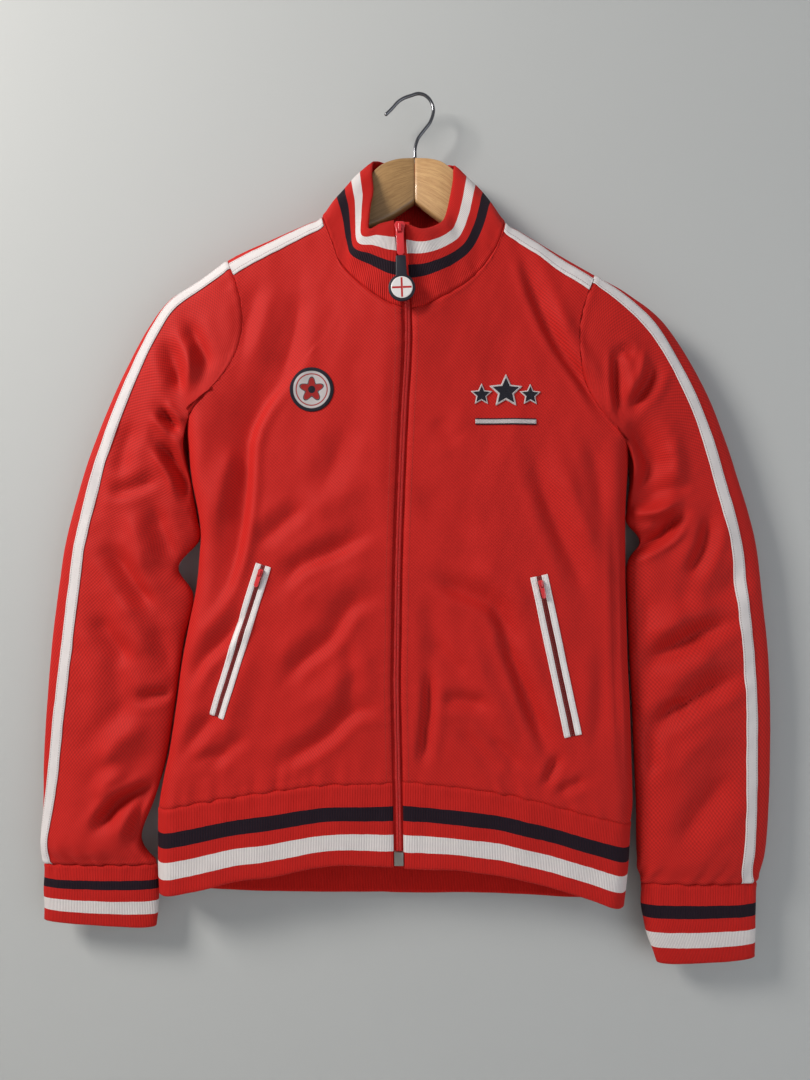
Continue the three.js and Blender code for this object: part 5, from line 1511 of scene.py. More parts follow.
@dataclass(frozen=True)
class Badge(Finish):
    """Embroidery or print whose map holds mm from its middle, or shares of its outline."""

    motif: Motif = Motif.BLOSSOM
    radius: float = 22.0
    navy: Colour = (20, 19, 36)
    red: Colour = (184, 32, 30)

    def make(self, effects: Effects) -> bpy.types.Material:
        """Makes the material."""
        tree, shader = self.start()
        drawn = {Motif.BLOSSOM: self.blossom, Motif.STAR: self.star, Motif.BAR: self.bar,
                 Motif.CROSS: self.cross}[self.motif]
        colour = drawn(tree)
        if self.motif is Motif.CROSS:
            height = tree.group(effects.tone, coarse=60.0, fine=900.0).outputs[0]
        else:
            x, y = tree.place()
            height = tree.group(effects.twill, across=x, up=y, pitch=0.7).outputs["Height"]
        return self.finished(tree, shader, effects, colour, height)

    def polar(self, tree: Tree) -> tuple[Socket, Socket]:
        """Distance from the middle and angle round it."""
        x, y = tree.place()
        far = tree.math("SQRT", tree.math("ADD", tree.math("MULTIPLY", x, x), tree.math("MULTIPLY", y, y)))
        return far, tree.math("ARCTAN2", x, y)

    def blossom(self, tree: Tree) -> Socket:
        """A five-petalled flower inside two rims."""
        far, angle = self.polar(tree)
        wave = tree.math("COSINE", tree.math("MULTIPLY", angle, 5.0))
        edge = tree.math("MULTIPLY_ADD", wave, 0.13 * self.radius, 0.42 * self.radius)
        petals = tree.band(tree.math("SUBTRACT", far, edge), -100.0, 0.0, 0.25)
        outline = tree.band(tree.math("SUBTRACT", far, edge), 0.0, 1.1, 0.25)
        heart = tree.band(far, -1.0, 0.17 * self.radius, 0.25)
        colour = tree.blend(petals, linear(self.colour), linear(self.red))
        colour = tree.blend(outline, colour, linear(self.navy))
        colour = tree.blend(heart, colour, linear(self.navy))
        ring = tree.band(far, 0.70 * self.radius, 0.75 * self.radius, 0.25)
        colour = tree.blend(ring, colour, linear(self.red))
        rim = tree.band(far, 0.86 * self.radius, 2.0 * self.radius, 0.25)
        return tree.blend(rim, colour, linear(self.navy))

    def star(self, tree: Tree) -> Socket:
        """White rim outside a share of the outline, given by the map "share"."""
        share, _ = tree.place("share")
        rim = tree.band(share, 0.80, 2.0, 0.02)
        return tree.blend(rim, linear(self.navy), linear(self.colour))

    def bar(self, tree: Tree) -> Socket:
        """White bar with a navy edge."""
        _, across = tree.place()
        rim = tree.band(across, 1.0, 5.0, 0.12)
        return tree.blend(rim, linear(self.navy), linear(self.colour))

    def cross(self, tree: Tree) -> Socket:
        """A plain thin cross on a disc."""
        x, y = tree.place()
        upright, level = (tree.band(value, -1.0, 1.0, 0.12) for value in (x, y))
        far, _ = self.polar(tree)
        inside = tree.band(far, -1.0, 0.9 * self.radius, 0.1)
        lines = tree.math("MULTIPLY", tree.math("MAXIMUM", upright, level), inside)
        return tree.blend(lines, linear(self.colour), linear(self.red))


@dataclass
class Wardrobe:
    """The finishes of the whole jacket, made once and handed to the pieces."""

    effects: Effects = field(default_factory=Effects)

    def __post_init__(self) -> None:
        """Makes the finishes that several pieces use."""
        jersey = {"roughness": 0.7, "uneven": 0.05, "gloss": 0.22, "bump": 0.00022}
        self.body = Jersey("cloth_body", (206, 31, 24), stitch_at=5.5, **jersey).make(self.effects)
        self.sleeve = Jersey("cloth_sleeve", (204, 31, 24), **jersey).make(self.effects)
        self.lining = Jersey("cloth_inside", (150, 20, 17), roughness=0.85, gloss=0.1).make(self.effects)
        self.rib_inside = StripedRib("rib_inside", (150, 20, 17), roughness=0.85, gloss=0.1, bump=0.0004,
                                     stripes=((Dye.RED, 100.0),)).make(self.effects)
        self.tape = Twill("tape_white", (240, 234, 233), roughness=0.75, gloss=0.25).make(self.effects)
        self.welt = Twill("welt_white", (248, 243, 242), dark=(222, 212, 212), thread=(214, 200, 200),
                          roughness=0.75, wide=5.6, gloss=0.25, inset=1.0).make(self.effects)
        self.zip_cloth = Twill("zip_tape_red", (204, 32, 28), dark=(158, 20, 20), wide=7.0,
                               inset=1.6, thread=(190, 50, 48), roughness=0.8, gloss=0.2).make(self.effects)
        self.coil = Hard("zip_coil_red", (206, 40, 38), roughness=0.38, bump=0.00004).make(self.effects)
        self.pocket_zip = Twill("pocket_zip_red", (128, 20, 20), dark=(84, 12, 12), wide=4.6,
                                roughness=0.85, gloss=0.15).make(self.effects)
        self.pocket_coil = Hard("pocket_coil_red", (116, 18, 18), roughness=0.5,
                                bump=0.00004).make(self.effects)
        self.gloss = Hard("lacquer_red", (212, 44, 50), roughness=0.2, coat=0.7, wear=0.04,
                          bump=0.00002).make(self.effects)
        self.metal = Hard("box_metal", (150, 146, 141), metallic=0.9, roughness=0.36,
                          bump=0.00004).make(self.effects)
        self.wire = Hard("hook_wire", (118, 118, 122), metallic=1.0, roughness=0.2, wear=0.06,
                         bump=0.00003).make(self.effects)
        self.rubber = Hard("grip_navy", (20, 20, 34), roughness=0.5, wear=0.06,
                           bump=0.00006).make(self.effects)
        self.film = Hard("zip_end_film", (205, 104, 92), roughness=0.35,
                         bump=0.00004).make(self.effects)
        wood = {"roughness": 0.42, "coat": 0.25, "uneven": 0.07, "bump": 0.00008}
        # The left arm's finish is darker partly as its own darker wood and partly as painted shade of the
        # collar's shadow on it.
        self.woods = {
            -1: Wood("wood_dark_and_shaded", (172, 134, 86), dark=(112, 78, 42), **wood).make(self.effects),
            1: Wood("wood_light", (212, 170, 118), dark=(156, 104, 58), **wood).make(self.effects),
        }

    def rib(self, name: str, stripes: tuple[tuple[Dye, float], ...]) -> bpy.types.Material:
        """A rib's finish with its own stripes."""
        return StripedRib(name, Dye.RED.value, roughness=0.75, gloss=0.2, uneven=0.05, bump=0.0005,
                          stripes=stripes).make(self.effects)


def away_from(x: float, y: float) -> Callable[[Array], Array]:
    """Directions that point away from an upright line."""
    return lambda points: (points - (x, y, 0.0)) * (1.0, 1.0, 0.0)


def away_from_rows(points: Array) -> Array:
    """Directions that point away from the middle of each row of a tube."""
    return points - points.mean(axis=0, keepdims=True)


def finish_piece(piece: bpy.types.Object, body: str, slot: str, *nodes: str) -> None:
    """Lets a piece ride on its body and stand for its CAD nodes.

    Args:
        piece: the new object.
        body: the CAD body.
        slot: the record's material slot; not used.
        nodes: the CAD nodes that it stands for.
    """
    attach(piece, body)
    if nodes:
        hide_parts(*nodes)
    log.info("%s: %d faces", piece.name, len(piece.data.polygons))


# Shares across a front and the back between which the cloth lies flat
FRONT_FLAT_TO = 0.893
BACK_FLAT_FROM = 0.054


@dataclass
class Body:
    """The two fronts and the back, sewn at shoulders, sides, armholes, neck and hem."""

    form: JacketForm
    wardrobe: Wardrobe
    wall: float = 1.4
    seam_gap: float = 0.3
    low_rows: int = 96
    arm_rows: int = 48
    flat_front: Point2 = (0.27, 0.61)
    flat_back: Point2 = (0.52, 0.64)
    hem_seam: Seam = Seam(0.7)
    top_seam: Seam = Seam(0.5)
    hem_gathers: Gathers = Gathers(0.9, 19.0, 20.0)
    top_gathers: Gathers = Gathers(0.35, 9.0, 8.0)
    side_gathers: Gathers = Gathers(0.35, 12.0, 9.0)
    no_edge: float = 90.0

    def rows(self) -> Array:
        """Shares up a panel: even up to the armpit, then those of the armhole."""
        low = np.linspace(0.0, 1.0, self.low_rows, endpoint=False) ** 1.06
        arm = round_spaced(self.arm_rows + 1)
        return np.concatenate((low * self.form.armpit_v, 1.0 - (1.0 - self.form.armpit_v) * arm[::-1]))

    def front_columns(self) -> Array:
        """Shares across a front: closer at the neck's corner and round the side."""
        neck = (1.0 - (1.0 - np.linspace(0.0, 1.0, 40)) ** 1.5) * self.form.front_neck_u
        flat = np.linspace(self.form.front_neck_u, FRONT_FLAT_TO, 28)[1:]
        return np.concatenate((neck, flat, mix(FRONT_FLAT_TO, 1.0, np.sin(quarter(10)))))

    def back_columns(self) -> Array:
        """Shares across the back."""
        low, high = self.form.back_neck
        turn = BACK_FLAT_FROM * (1.0 - np.sin(quarter(10)[::-1]))
        flat = np.linspace(BACK_FLAT_FROM, low, 28)[:-1]
        neck = mix(low, high, round_spaced(47))
        return np.concatenate((turn, flat, neck, (1.0 - flat)[::-1], (1.0 - turn)[::-1]))

    def seams(self, mesh: SurfaceMesh, seed: int) -> None:
        """Sinks a panel's cloth at its seams and gathers it there; the seed picks the gathers."""
        across, up = arc(mesh.points, 0), arc(mesh.points, 1)
        from_hem, from_top = up, up[:, -1:] - up
        sink = self.hem_seam.at(from_hem) + self.top_seam.at(from_top)
        sink = sink + self.hem_gathers.at(across, from_hem, seed)
        sink = sink + self.top_gathers.at(across, from_top, seed + 1)
        for from_side in (across, across[-1:] - across):
            sink = sink + self.side_gathers.at(up, from_side, seed + 2)
        mesh.pushed(sink * self.form.fullness(mesh.points[..., 0], mesh.points[..., 2]))

    def panel(self, name: str, points: Array, seam: Array, face: Face, seed: int,
              flat: Point2) -> SurfaceMesh:
        """Args:
            name: the CAD node's name.
            points: its grid.
            seam: where it meets the panel of the other face.
            face: which way it looks.
            seed: which gathers.
            flat: width and length of its cut, in metres; not used.

        Returns:
            The panel's grid, for what is sewn on it.
        """
        points[..., 1] += face.value * np.where(seam, self.seam_gap / 2, 0.0)
        mesh = SurfaceMesh(name, points, self.wall, lambda _: np.array((0.0, float(face.value), 0.0)))
        self.seams(mesh, seed)
        stitched = arc(mesh.points, 0) if face is Face.FRONT else np.full(points.shape[:2], self.no_edge)
        mesh.maps = {"cloth": mesh.points[..., [0, 2]],
                     "edge": np.stack((stitched, arc(mesh.points, 1)), axis=-1)}
        piece = mesh.build((self.wardrobe.body, self.wardrobe.lining))
        finish_piece(piece, "jacket", "cloth_red", name)
        return mesh

    def front(self, form: SideForm) -> SurfaceMesh:
        """Builds one front and gives its grid."""
        columns, rows = self.front_columns(), self.rows()
        points = self.form.front_grid(form, columns, rows)
        on_side = (columns == columns[-1])[:, None] & (rows <= self.form.armpit_v)[None]
        on_top = (rows == 1.0)[None] & (columns >= self.form.front_neck_u)[:, None]
        return self.panel(f"front_{word(form.side)}", points, on_side | on_top, Face.FRONT,
                          20 + form.sign, self.flat_front)

    def back(self) -> None:
        """Builds the back."""
        columns, rows = self.back_columns(), self.rows()
        points = self.form.back_grid(columns, rows)
        low, high = self.form.back_neck
        on_side = ((columns == 0.0) | (columns == 1.0))[:, None] & (rows <= self.form.armpit_v)[None]
        on_top = (rows == 1.0)[None] & ((columns <= low) | (columns >= high))[:, None]
        self.panel("back", points, on_side | on_top, Face.BACK, 30, self.flat_back)

    def build(self) -> dict[Side, SurfaceMesh]:
        """Builds the panels and gives the fronts' grids by side."""
        fronts = {form.side: self.front(form) for form in (LEFT, RIGHT)}
        self.back()
        return fronts


@dataclass
class Sleeve:
    """One sleeve with its striped cuff and the white tape down its side."""

    form: JacketForm
    side: SideForm
    wardrobe: Wardrobe
    stripes: tuple[tuple[Dye, float], ...]
    flat: Point2
    flat_cuff: Point2
    wall: float = 1.4
    rib_wall: float = 2.2
    around: int = 49
    rows: int = 190
    cuff_rows: int = 30
    cuff_height: float = 82.0
    start_row: float = 0.02
    tape_width: float = 12.0
    tape_length: float = 0.66
    tape_thick: float = 0.8
    tape_lift: float = 0.3
    tape_lead: int = 14
    head_seam: Seam = Seam(0.6)
    end_seam: Seam = Seam(0.7)
    rib_seam: Seam = Seam(0.8)
    head_gathers: Gathers = Gathers(0.5, 12.0, 10.0)
    end_gathers: Gathers = Gathers(1.1, 15.0, 22.0)
    rib_gathers: Gathers = Gathers(0.5, 13.0, 26.0)
    rib_waves: Ripple = Ripple(45, 30.0, 0.35)
    rib_swell: float = 0.7

    @property
    def word(self) -> str:
        """"left" or "right", as in the CAD nodes' names."""
        return word(self.side.side)

    def ring(self) -> tuple[Array, Array]:
        """Places round the tube: the front from outer to inner edge, then the back."""
        q = round_spaced(self.around)
        face = np.concatenate((np.full(len(q), Face.FRONT.value), np.full(len(q) - 2, Face.BACK.value)))
        return np.concatenate((q, q[-2:0:-1])), face

    def down(self) -> Array:
        """Rows of the sleeve's grid, from the armhole to the cuff."""
        return mix(self.start_row, self.side.rows, np.linspace(0.0, 1.0, self.rows))

    def sleeve(self) -> SurfaceMesh:
        """Returns:
            Its grid.
        """
        q, face = self.ring()
        points = self.form.sleeve_points(self.side, q, face, self.down())
        mesh = SurfaceMesh(f"sleeve_{self.word}", points, self.wall, away_from_rows, ring=True)
        down = arc(mesh.points, 1)
        around = arc(mesh.points, 0)
        from_cuff = down[:, -1:] - down
        mesh.pushed(self.head_seam.at(down) + self.end_seam.at(from_cuff)
                    + self.head_gathers.at(around, down, 40)
                    + self.end_gathers.at(around, from_cuff, 41 + self.side.sign))
        mesh.maps = {"cloth": tube_map(mesh.points, float(down.mean(axis=0)[-1]))}
        piece = mesh.build((self.wardrobe.sleeve, self.wardrobe.lining))
        finish_piece(piece, "jacket", "cloth_red", f"sleeve_{self.word}")
        "front_" + self.word
        return mesh

    def cuff(self) -> None:
        q, face = self.ring()
        r = np.linspace(0.0, 2.0, self.cuff_rows)
        points = self.form.cuff_points(self.side, q, face, r)
        mesh = SurfaceMesh(f"cuff_{self.word}", points, self.rib_wall, away_from_rows, ring=True)
        down = np.linspace(0.0, self.cuff_height, self.cuff_rows)[None]
        around = arc(mesh.points, 0)
        swell = self.rib_swell * np.sin(np.pi * down / self.cuff_height)
        mesh.pushed(self.rib_seam.at(down) + swell + self.rib_gathers.at(around, down, 44)
                    + self.rib_waves.at(points[..., 0], points[..., 2]))
        mesh.maps = {"cloth": tube_map(mesh.points, self.cuff_height)}
        finish = self.wardrobe.rib(f"rib_cuff_{self.word}", self.stripes)
        piece = mesh.build((finish, self.wardrobe.rib_inside))
        finish_piece(piece, "jacket", "rib_red", f"cuff_{self.word}")
        f"sleeve_{self.word}"

    def tape(self, mesh: SurfaceMesh) -> None:
        """Builds the white tape on the sleeve's grid.

        Args:
            mesh: the sleeve's grid.
        """
        across = np.linspace(-self.tape_width / 2, self.tape_width / 2, 9)
        lead = self.tape_lead
        columns = np.concatenate((np.arange(-lead, 0), np.arange(self.around)))
        grids, places = [], []
        for row, r in enumerate(self.down()):
            line = mesh.points[columns, row]
            length = np.concatenate(([0.0], np.cumsum(np.linalg.norm(np.diff(line, axis=0), axis=1))))
            flat = np.hypot(*(line[lead:, [0, 2]] - line[lead, [0, 2]]).T)
            middle = np.interp(self.side.tape.value(r), np.maximum.accumulate(flat), length[lead:])
            grids.append((line, mesh.normals[columns, row]))
            places.append(middle + across)
        strip = strip_on(f"sleeve_tape_{self.word}", *along_lines(grids, places), self.tape_lift,
                         self.tape_thick)
        piece = strip.build((self.wardrobe.tape,))
        finish_piece(piece, "jacket", "tape_white", f"sleeve_tape_{self.word}")
        f"sleeve_{self.word}"

    def build(self) -> None:
        """Builds sleeve, cuff and tape."""
        mesh = self.sleeve()
        self.cuff()
        self.tape(mesh)


@dataclass
class ShoulderTape:
    """The white tape along one shoulder, on the front's edge."""

    side: SideForm
    wardrobe: Wardrobe
    neck_u: int = 39
    width: float = 14.0
    length: float = 0.115
    middle: float = 24.0
    thick: float = 0.8
    lift: float = 0.3

    def build(self, front: SurfaceMesh) -> None:
        """Builds the tape on the front's grid.

        Args:
            front: the front's grid.
        """
        side = word(self.side.side)
        places = self.middle + np.linspace(-self.width / 2, self.width / 2, 9)
        grids = [(front.points[column, ::-1], front.normals[column, ::-1])
                 for column in range(self.neck_u, front.points.shape[0])]
        strip = strip_on(f"shoulder_tape_{side}", *along_lines(grids, [places] * len(grids)), self.lift,
                         self.thick)
        piece = strip.build((self.wardrobe.tape,))
        finish_piece(piece, "jacket", "tape_white", f"shoulder_tape_{side}")
        self.length


@dataclass
class Ribs:
    """Striped collar and hem."""

    form: JacketForm
    wardrobe: Wardrobe
    wall: float = 2.2
    collar_height: float = 82.0
    collar_start: float = 0.9
    hem_height: float = 85.0
    seam_gap: float = 0.3
    seam: Seam = Seam(0.8)
    collar_gathers: Gathers = Gathers(0.5, 14.0, 16.0)
    collar_waves: Ripple = Ripple(51, 36.0, 0.5)
    hem_gathers: Gathers = Gathers(0.5, 18.0, 30.0)
    collar_swell: float = 0.7
    collar_roll: float = 0.9
    hem_swell: float = 0.9
    hem_end: float = 12.0
    hem_middle: Point2 = (0.0, -8.0)
    collar_flat: Point2 = (0.44, 0.083)
    hem_flat: Point2 = (1.04, 0.087)

    def collar(self) -> None:
        front = 1.0 - (1.0 - np.linspace(0.0, 1.0, 56)) ** 1.15
        w = np.concatenate((front, 1.0 + round_spaced(60)[1:-1], 3.0 - front[::-1]))
        t = np.linspace(self.collar_start / self.collar_height, 1.0, 34)
        mesh = SurfaceMesh("collar", self.form.collar_points(w, t), self.wall,
                           away_from(self.form.hanger_x, self.form.neck_middle_y))
        along = arc(mesh.points, 0)[:, 16:17]
        up = (t * self.collar_height)[None]
        from_top = self.collar_height - up
        swell = self.collar_swell * np.sin(np.pi * up / self.collar_height)
        roll = -self.collar_roll * np.exp(-((from_top / 3.0) ** 2))
        mesh.pushed(self.seam.at(up) + (roll + swell) + self.collar_gathers.at(along, up, 50)
                    + self.collar_waves.at(*np.broadcast_arrays(along, up)))
        mesh.maps = {"cloth": np.stack(np.broadcast_arrays(along, from_top), axis=-1)}
        stripes = ((Dye.RED, 15.5), (Dye.WHITE, 13.0), (Dye.RED, 11.0), (Dye.NAVY, 13.0), (Dye.RED, 30.5))
        piece = mesh.build((self.wardrobe.rib("rib_collar", stripes), self.wardrobe.rib_inside))
        finish_piece(piece, "jacket", "rib_red", "collar")

    def hem(self) -> None:
        front = np.concatenate((np.linspace(0.0, FRONT_FLAT_TO, 60),
                                mix(FRONT_FLAT_TO, 1.0, np.sin(quarter(10)))))
        turn = BACK_FLAT_FROM * (1.0 - np.cos(quarter(10)))
        flat = np.linspace(BACK_FLAT_FROM, 1.0 - BACK_FLAT_FROM, 110)[1:-1]
        back = np.concatenate((turn, flat, (1.0 - turn)[::-1]))
        w = np.concatenate((front, 1.0 + back, (3.0 - front)[::-1]))
        t = np.linspace(self.seam_gap / self.hem_height, 1.0, 30)
        mesh = SurfaceMesh("hem_rib", self.form.hem_points(w, t), self.wall, away_from(*self.hem_middle))
        down = (t * self.hem_height)[None]
        along = arc(mesh.points, 0)[:, 14:15]
        inside = ease(np.minimum(along, along[-1:] - along) / self.hem_end)
        swell = self.hem_swell * np.sin(np.pi * down / self.hem_height)
        mesh.pushed((self.seam.at(down) + (swell + self.hem_gathers.at(along, down, 53))) * inside)
        mesh.maps = {"cloth": np.stack(np.broadcast_arrays(along, down), axis=-1)}
        stripes = ((Dye.RED, 23.0), (Dye.NAVY, 15.0), (Dye.RED, 14.0), (Dye.WHITE, 17.0), (Dye.RED, 16.0))
        piece = mesh.build((self.wardrobe.rib("rib_hem", stripes), self.wardrobe.rib_inside))
        finish_piece(piece, "jacket", "rib_red", "hem_rib")

    def build(self) -> None:
        """Builds both."""
        self.collar()
        self.hem()


@dataclass(frozen=True)
class Teeth:
    """Two rows of coil turns along a line, each an even-sided bar that leans a little."""

    pitch: float = 1.35
    half: float = 2.6
    gap: float = 0.15
    thick: float = 0.62
    sides: int = 6
    lean: float = 0.12

    def turn(self) -> tuple[Array, Array]:
        """One turn: a short round bar across the line, from its middle to its tip.

        Returns:
            Its points as (across, along, out), and its faces.
        """
        rings = ((self.gap, 0.55), (self.gap + 0.35, 1.0), (self.half - 0.5, 0.95), (self.half, 0.5))
        angles = np.linspace(0.0, 2 * np.pi, self.sides, endpoint=False)
        points = []
        for across, share in rings:
            radius = self.thick * share
            points.append(np.stack((np.full(self.sides, across), np.cos(angles) * radius * 0.85,
                                    np.sin(angles) * radius), axis=1))
        faces = []
        for ring in range(len(rings) - 1):
            for side in range(self.sides):
                first, second = ring * self.sides + side, ring * self.sides + (side + 1) % self.sides
                faces.append((first, second, second + self.sides, first + self.sides))
        last = (len(rings) - 1) * self.sides
        for step in range(1, self.sides - 1, 2):
            faces.append((0, self.sides - step, self.sides - step - 1, self.sides - step - 2))
            faces.append((last, last + step, last + step + 1, last + step + 2))
        return np.concatenate(points), np.array(faces)

    def build(self, name: str, length: float, frame_at: Callable[[Array], tuple], finish: object
              ) -> bpy.types.Object:
        """Makes the rows.

        Args:
            name: the piece's name.
            length: how long they are, in mm.
            frame_at: gives points, and directions across, along and out, at lengths from the start.
            finish: their material.

        Returns:
            The new piece.
        """
        points, faces = self.turn()
        vertices, corners = [], []
        for sign, shift in ((1.0, 0.0), (-1.0, 0.5)):
            places = np.arange(self.pitch * (0.5 + shift), length, self.pitch)
            origin, across, along, out = frame_at(places)
            side, ahead, up = points[None, :, :1], points[None, :, 1:2], points[None, :, 2:]
            placed = (origin[:, None] + across[:, None] * side * sign
                      + along[:, None] * (ahead + self.lean * side) + out[:, None] * up)
            base = sum(len(block) for block in vertices)
            steps = np.arange(len(places))[:, None, None] * len(points) + base
            corners.append((faces[None] + steps).reshape(-1, 4))
            vertices.append(placed.reshape(-1, 3))
        mesh = mesh_from(name, np.concatenate(vertices), np.concatenate(corners), {})
        turned_out(mesh)
        return shown(name, mesh, (finish,))


@dataclass
class FrontZip:
    """The front zip: two tapes, the coil, the bottom box, the slider and its pull."""

    form: JacketForm
    wardrobe: Wardrobe
    tape_from: float = 0.4
    tape_to: float = 9.6
    tape_behind: float = 2.6
    tape_thick: float = 0.7
    coil_behind: float = 1.3
    slider_top: float = -152.8
    slider_height: float = 14.0
    foot: float = -804.5
    box_height: float = 14.0
    pull_tilt: float = 0.035
    pivot: Point3 = (-11.624, -55.685, -159.6)
    disc_drop: float = 60.0
    face_radius: float = 10.8
    face_out: float = 1.9
    film: Point3 = (2.9, 5.4, 14.5)
    film_thick: float = 0.35
    tape_wave: float = 0.25
    tape_flat: Point2 = (0.0105, 0.655)
    end_gap: float = 0.3
    coil_aside: float = 0.4

    def line(self, z: Array) -> tuple[Array, Array, Array, Array]:
        """Points of the zip's line and its directions across, along and out."""
        points = np.stack((self.form.centre_x(z), self.form.zip_y(z), z), axis=-1)
        ahead = np.stack((self.form.centre_x(z + 1), self.form.zip_y(z + 1), z + 1), axis=-1)
        along = unit(ahead - points)
        across = unit(np.array((1.0, 0.0, 0.0)) - along * along[:, :1])
        return points, across, along, unit(np.cross(along, -across))

    def tape(self, form: SideForm) -> None:
        """Builds the woven tape of one side.

        Args:
            form: the jacket's side.
        """
        name = f"zip_tape_{word(form.side)}"
        z = np.linspace(self.foot, self.slider_top + 1, 220)
        points, across, _, out = self.line(z)
        places = np.linspace(self.tape_from, self.tape_to, 7) * form.sign
        bases = points[:, None] + across[:, None] * places[None, :, None]
        share = np.linspace(0, 1, 7)[None, :, None]
        wave = self.tape_wave * np.sin(z / 7.0 + form.sign)[:, None, None] * share
        bases = bases - out[:, None] * (self.tape_behind + self.tape_thick + wave)
        normals = np.broadcast_to(out[:, None], bases.shape)
        piece = strip_on(name, bases, normals, 0.0, self.tape_thick).build((self.wardrobe.zip_cloth,))
        finish_piece(piece, "jacket", "zip_red", name)
        f"front_{word(form.side)}"

    def coil(self) -> None:
        """Builds the coil on the tapes."""
        start = self.foot + self.box_height + self.end_gap
        length = self.slider_top - self.slider_height - self.end_gap - start

        def frame_at(places: Array) -> tuple[Array, ...]:
            """Directions at lengths up from the box."""
            points, across, along, out = self.line(start + places)
            start_at = points - out * self.coil_behind + across * self.coil_aside
            return start_at, across, along, out

        piece = Teeth().build("zip_coil", length, frame_at, self.wardrobe.coil)
        finish_piece(piece, "jacket", "zip_red", "zip_chain")

    def films(self) -> None:
        """Builds the stiff film on each tape's end beside the box."""
        low, high, height = self.film
        points, across, _, out = self.line(np.linspace(self.foot + 0.2, self.foot + height, 6))
        for form in (LEFT, RIGHT):
            places = np.linspace(low, high, 4) * form.sign
            bases = points[:, None] + across[:, None] * places[None, :, None]
            bases = bases - out[:, None] * (self.tape_behind - 0.05)
            normals = np.broadcast_to(out[:, None], bases.shape)
            strip = strip_on(f"zip_film_{word(form.side)}", bases, normals, 0.0, self.film_thick)
            finish_piece(strip.build((self.wardrobe.film,)), "jacket", "zip_red")

    def pull_face(self) -> None:
        """Builds the pull's domed face with its plain cross."""
        rings = np.concatenate((np.linspace(0.002, 0.86, 7), (0.93, 0.97, 1.0)))
        drop = np.array([0.0] * 7 + [0.04, 0.16, 0.42])
        angles = np.linspace(0.0, 2 * np.pi, 64, endpoint=False)
        x = np.sin(angles)[:, None] * rings[None] * self.face_radius
        z = np.cos(angles)[:, None] * rings[None] * self.face_radius
        out = np.broadcast_to(self.face_out + 0.6 - drop * 0.9, x.shape)
        cos, sin = math.cos(self.pull_tilt), math.sin(self.pull_tilt)
        local_z = z - self.disc_drop
        points = np.stack((self.pivot[0] + x * cos - local_z * sin, self.pivot[1] - out,
                           self.pivot[2] + x * sin + local_z * cos), axis=-1)
        flat = np.stack((x, z), axis=-1)
        mesh = SurfaceMesh("pull_face", points, 0.5, lambda _: np.array((0.0, -1.0, 0.0)), ring=True,
                           maps={"cloth": np.concatenate((flat, flat[:1]))}, rim=0.0)
        finish = Badge("face_white", (226, 222, 220), motif=Motif.CROSS, radius=self.face_radius,
                       roughness=0.35, coat=0.3, bump=0.00003).make(self.wardrobe.effects)
        finish_piece(mesh.build((finish,)), "main_pull", "face_white", "pull_face")

    def build(self) -> None:
        """Builds the whole zip."""
        self.tape(LEFT)
        self.tape(RIGHT)
        self.coil()
        self.films()
        wardrobe = self.wardrobe
        for name, finish, radius, slot, body in (
            ("zip_box", wardrobe.metal, 0.5, "box_metal", "jacket"),
            ("zip_slider", wardrobe.gloss, 0.5, "gloss_red", "jacket"),
            ("pull_tab", wardrobe.gloss, 0.35, "gloss_red", "main_pull"),
            ("pull_grip", wardrobe.rubber, 0.8, "grip_navy", "main_pull"),
        ):
            finish_piece(bevelled_copy(name, finish, radius), body, slot)
        self.pull_face()


